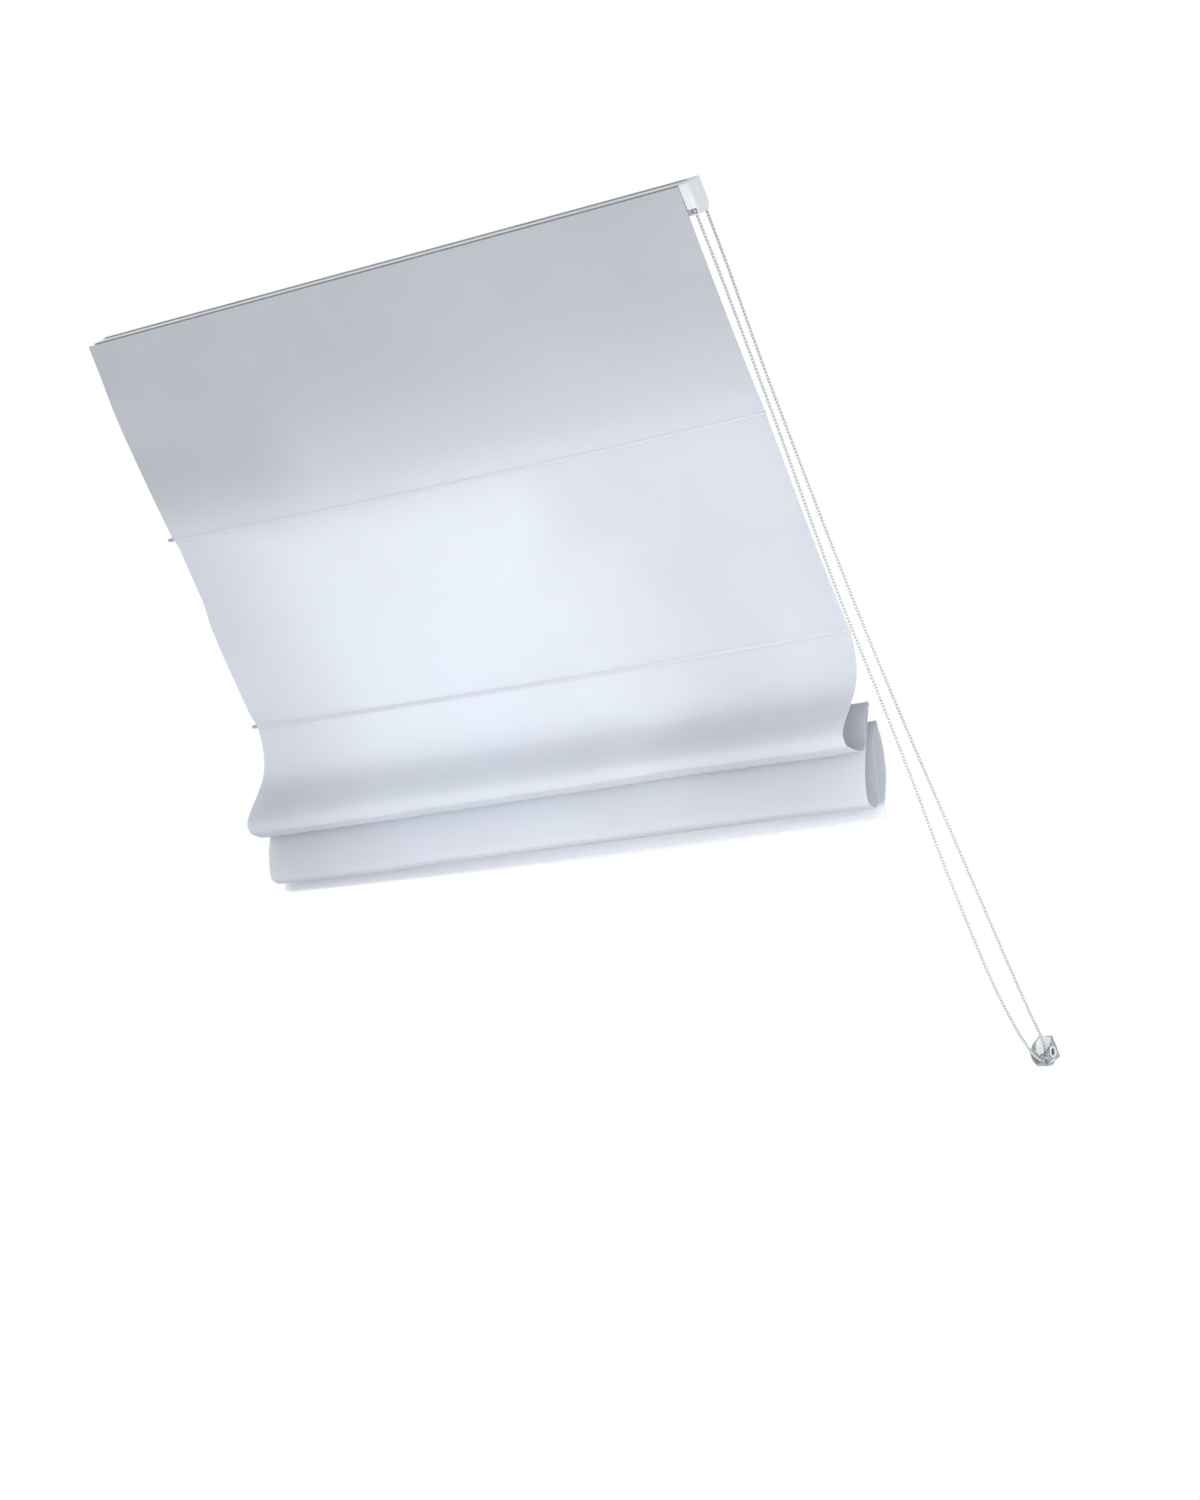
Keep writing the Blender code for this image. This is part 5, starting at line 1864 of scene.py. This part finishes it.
@dataclass
class Headrail:
    """The channel, its band, caps and brackets, and the drive inside it."""

    edge: float = 0.0003
    cap_edge: float = 0.0007
    band_edge: float = 0.0001
    bracket_edge: float = 0.00035
    hem_cap_edge: float = 0.0004
    spool_edge: float = 0.00025
    housing_edge: float = 0.00035
    housing_round: float = 0.0034
    lip_height: float = 0.0014
    lip_thickness: float = 0.0012
    ends: Pair = (-0.4865, 0.5003)
    cap_end: float = 0.5128

    def build(self, coil: Growth) -> None:
        """Dresses the headrail's parts.

        Args:
            coil: The coils' tree.
        """
        softened("headrail_profile", self.edge, Look.RAIL, "headrail", "rail_channel")
        softened("hook_band", self.band_edge, Look.BAND, "headrail", "hook_tape", 1)
        softened("left_end_cap", self.cap_edge, Look.PLASTIC, "headrail", "end_cap", 3)
        softened("drive_housing", self.housing_edge, Look.PLASTIC, "headrail", "chain_housing", 3,
                 self.rounded_block())
        for side in ("left", "right"):
            softened(f"wall_bracket_{side}", self.bracket_edge, Look.BRACKET, "headrail",
                     f"bracket_{side}")
            softened(f"hem_cap_{side}", self.hem_cap_edge, Look.PLASTIC, "rod_four",
                     f"hem_end_{side}", 3)
        for k in (1, 2, 3):
            softened(f"spool_cradle_{k}", self.edge, Look.PLASTIC, "headrail", f"cradle_{k}")
            softened(f"cord_spool_{k}", self.spool_edge, Look.SPOOL, "drive", f"spool_{k}")
        softened("clutch_hub", self.edge, Look.PLASTIC, "headrail", "hub")
        self.lips()
        self.windings(coil)

    def rounded_block(self) -> bpy.types.Mesh:
        """A block over the drive housing whose outer front edge is rounded.

        Returns:
            The block's mesh.
        """
        spots = [v.co for v in frame["nodes"]["drive_housing"].data.vertices]
        slack = 5e-6
        end = max(p.x for p in spots) + slack
        front = min(p.y * SIN + p.z * COS for p in spots) - slack
        radius = self.housing_round
        outline = [(0.49, front), (0.49, 0.005), (end, 0.005)]
        for k in range(17):
            turn = math.pi / 2 * k / 16
            outline.append((end - radius * (1 - math.cos(turn)),
                            front + radius * (1 - math.sin(turn))))
        block = Shell()
        block.skin([[at(x, drop, depth) for x, depth in outline] for drop in (-0.01, 0.05)])
        return block.mesh("rounded_block")

    def lips(self) -> None:
        """The two lips along the channel's top, in a darker finish that paints the shadow lines
        there; the brackets hook on under the rear one.
        """
        shell = Shell()
        left, right = self.ends
        front = SIZES.rail_back - SIZES.rail_depth
        self.strip(shell, left, right, front)
        self.strip(shell, left, self.cap_end, SIZES.rail_back - self.lip_thickness)
        shell.piece("rail_lips", Look.LIP_PAINTED_SHADE, "headrail", 30.0)

    def strip(self, shell: Shell, start: float, stop: float, depth: float) -> None:
        """Adds one lip with a rounded top.

        Args:
            shell: What the lip is added to.
            start: Its left end.
            stop: Its right end.
            depth: The depth of its front face.
        """
        thick, high, chamfer = self.lip_thickness, self.lip_height, 0.0003
        outline = [(0.0004, 0.0), (-high + chamfer, 0.0)]
        outline += [(-high + chamfer * (1 - math.sin(t)), chamfer * (1 - math.cos(t)))
                    for t in (math.pi / 8 * k for k in range(1, 5))]
        outline += [(drop, thick - side) for drop, side in reversed(outline)]
        shell.skin([[at(x, drop, depth + side) for drop, side in outline] for x in (start, stop)])

    @staticmethod
    def windings(coil: Growth) -> None:
        """The turns of cord on each drum.

        Args:
            coil: The coils' tree.
        """
        start = Vector((-0.0155, 0, 0))
        mesh = polyline("drum_points", [[at(x, SIZES.axis_drop, SIZES.axis_plane) + start]
                                        for x in SIZES.cord_x])
        pitch = 2 * SIZES.cord_radius + 0.0001
        coil.grow("cord_windings", mesh, {
            "Turns": 9.0, "Coil Radius": SIZES.drum_radius + SIZES.cord_radius,
            "Length": 9.0 * pitch, "Wire Radius": SIZES.cord_radius,
        }, Look.CORD, "drive")


@dataclass
class Tensioner:
    """The clear clip on the wall, with its screw and the white ring round it."""

    x: float = 0.541
    width: float = 0.0125
    screw: Pair = (1.1957, -0.0122)
    ring_radius: float = 0.0062
    ring_wire: float = 0.0013

    def build(self) -> None:
        """Dresses the clip and its screw and adds the ring."""
        softened("tensioner_body", 0.0003, Look.CLEAR, "headrail", "chain_tensioner")
        softened("tensioner_screw", 0.0002, Look.SCREW, "headrail", "clip_screw")
        face = self.x + self.width / 2 + 0.0003
        shell = Shell()
        path = [at(face, *p) for p in arc(self.screw, self.ring_radius, 0, 360, 40)[:-1]]
        shell.tube(path, self.ring_wire, 10, True)
        shell.piece("clip_ring", Look.PLASTIC, "headrail")


# ---------------------------------------------------------------- studio


@dataclass
class Studio:
    """Camera, lights, world and floor."""

    eye: tuple[float, float, float] = (2.78872, -3.04444, -1.39767)
    yaw: float = 38.519
    tilt: float = 10.650
    focal_pixels: float = 3411.0
    picture_height: float = 1500.0
    sensor: float = 36.0
    floor_height: float = -1.62
    floor_reach: float = 14.0
    floor_sides: int = 64
    ambient: float = 0.85

    def camera(self) -> None:
        """The camera at the photograph's place."""
        data = bpy.data.cameras.new("camera")
        data.sensor_width = self.sensor
        data.lens = self.focal_pixels / self.picture_height * self.sensor
        data.clip_start, data.clip_end = 0.05, 60.0
        obj = placed("camera", data)
        obj.location = self.eye
        obj.rotation_euler = (math.radians(90 + self.tilt), 0.0, math.radians(self.yaw))
        bpy.context.scene.camera = obj

    @staticmethod
    def lamp(name: str, place: Sequence[float], aim: Sequence[float], size: float,
             watts: float) -> None:
        """A soft square lamp.

        Args:
            name: Its name.
            place: Where it stands.
            aim: What it points at.
            size: The length of its sides.
            watts: Its power.
        """
        data = bpy.data.lights.new(name, "AREA")
        data.size, data.energy = size, watts
        obj = placed(name, data)
        obj.location = place
        obj.rotation_euler = (Vector(aim) - Vector(place)).to_track_quat("-Z", "Y").to_euler()
        obj.visible_camera = False

    def lamps(self) -> None:
        """Soft lamps in the room, one beside the folds, one below and a weak one behind."""
        self.lamp("key", (-1.7, -3.2, -0.9), (0.0, 0.3, -0.4), 2.6, 10.0)
        self.lamp("fill", (2.5, -2.5, -1.1), (0.3, 0.4, -0.65), 1.8, 18.0)
        self.lamp("side", (1.15, 0.10, -0.80), (0.45, 0.38, -0.62), 0.45, 4.0)
        self.lamp("low", (0.15, -0.62, -1.15), (0.0, 0.42, -0.68), 0.4, 6.3)
        self.lamp("behind", (-0.5, 1.9, -0.6), (-0.1, 0.4, -0.7), 1.2, 8.0)

    @staticmethod
    def seen(graph: ShaderGraph) -> Wire:
        """1 for rays that show the background itself."""
        rays = graph.add("ShaderNodeLightPath")
        return graph.pick(rays, "Is Camera Ray")

    def world(self) -> None:
        """A soft even world that looks white."""
        world = bpy.data.worlds.new("studio")
        graph = cleared(world)
        soft = graph.add("ShaderNodeBackground", {}, {"Color": (0.985, 0.993, 1.0, 1.0),
                                                      "Strength": self.ambient})
        white = graph.add("ShaderNodeBackground", {}, {"Color": (*WHITE, 1.0), "Strength": 1.0})
        mixed = graph.add("ShaderNodeMixShader", {}, {0: self.seen(graph), 1: soft, 2: white})
        graph.add("ShaderNodeOutputWorld", {}, {"Surface": mixed})
        bpy.context.scene.world = world

    def floor(self) -> None:
        """A pale round floor that keeps the shadow and fades into the white."""
        material = bpy.data.materials.new("floor")
        graph = cleared(material)
        place = graph.add("ShaderNodeTexCoord", outlet="Object")
        flat = graph.add("ShaderNodeVectorMath", {"operation": "MULTIPLY"},
                         {0: place, 1: (1.0, 1.0, 0.0)})
        far = graph.add("ShaderNodeVectorMath", {"operation": "LENGTH"}, {0: flat}, "Value")
        fade = far.step(0.7, 2.4) * 0.55 + 0.45
        grain = graph.noise(place, 30.0, 3.0)
        pale = graph.blend(grain, (0.86, 0.87, 0.88), (0.90, 0.90, 0.90))
        matt = graph.add("ShaderNodeBsdfPrincipled", {}, {"Base Color": pale, "Roughness": 0.9})
        glow = graph.add("ShaderNodeEmission", {}, {"Color": (*WHITE, 1.0), "Strength": 1.0})
        top = graph.add("ShaderNodeMixShader", {}, {0: self.seen(graph) * fade, 1: matt, 2: glow})
        below = graph.add("ShaderNodeBsdfTransparent")
        facing = graph.add("ShaderNodeNewGeometry", outlet="Backfacing")
        both = graph.add("ShaderNodeMixShader", {}, {0: facing, 1: top, 2: below})
        graph.add("ShaderNodeOutputMaterial", {}, {"Surface": both})
        reach = self.floor_reach
        rim = [(reach * math.cos(a), reach * math.sin(a), self.floor_height)
               for a in angles(self.floor_sides)]
        mesh = bpy.data.meshes.new("floor")
        mesh.from_pydata(rim, [], [tuple(range(self.floor_sides))])
        mesh.materials.append(material)
        placed("floor", mesh)

    def build(self) -> None:
        """Sets up the whole studio."""
        self.camera()
        self.lamps()
        self.world()
        self.floor()
        bpy.context.scene.view_settings.view_transform = "Standard"


# ---------------------------------------------------------------- the blind


def dress_carried_over() -> None:
    """Gives the CAD nodes that still show their finishes."""
    looks = {look.value.slot: look for look in reversed(Look)}
    looks["cord"] = Look.CORD
    looks["white_plastic"] = Look.PLASTIC
    looks["rail"] = Look.RAIL
    slots = {row["node"]: row["material_slot"] for row in frame["record"]["subparts"]}
    for name, node in frame["nodes"].items():
        if node.hide_render:
            continue
        material = looks[slots[name]].material()
        if not node.material_slots:
            node.data.materials.append(material)
        for slot in node.material_slots:
            slot.material = material
        LOG.info("%s keeps its CAD shape, finish %s", name, material.name)


def main() -> None:
    """Builds the blind's pieces in order and sets up the studio."""
    logging.basicConfig(level=logging.INFO, format="%(name)s %(message)s")
    Studio().build()
    BeadChain().build(bead_tree())
    fittings = RodFittings()
    rings = ring_tree()
    for number, word in enumerate(RODS, start=1):
        fittings.tip(number, f"rod_{word}")
        fittings.rings(number, f"rod_{word}", rings)
        fittings.tacks(number, f"rod_{word}")
    LiftCords(fittings).build()
    Headrail().build(coil_tree())
    Tensioner().build()
    cloth = Cloth()
    cloth.build()
    cloth.stitch(stitch_tree())
    dress_carried_over()


if __name__ == "__main__":
    main()
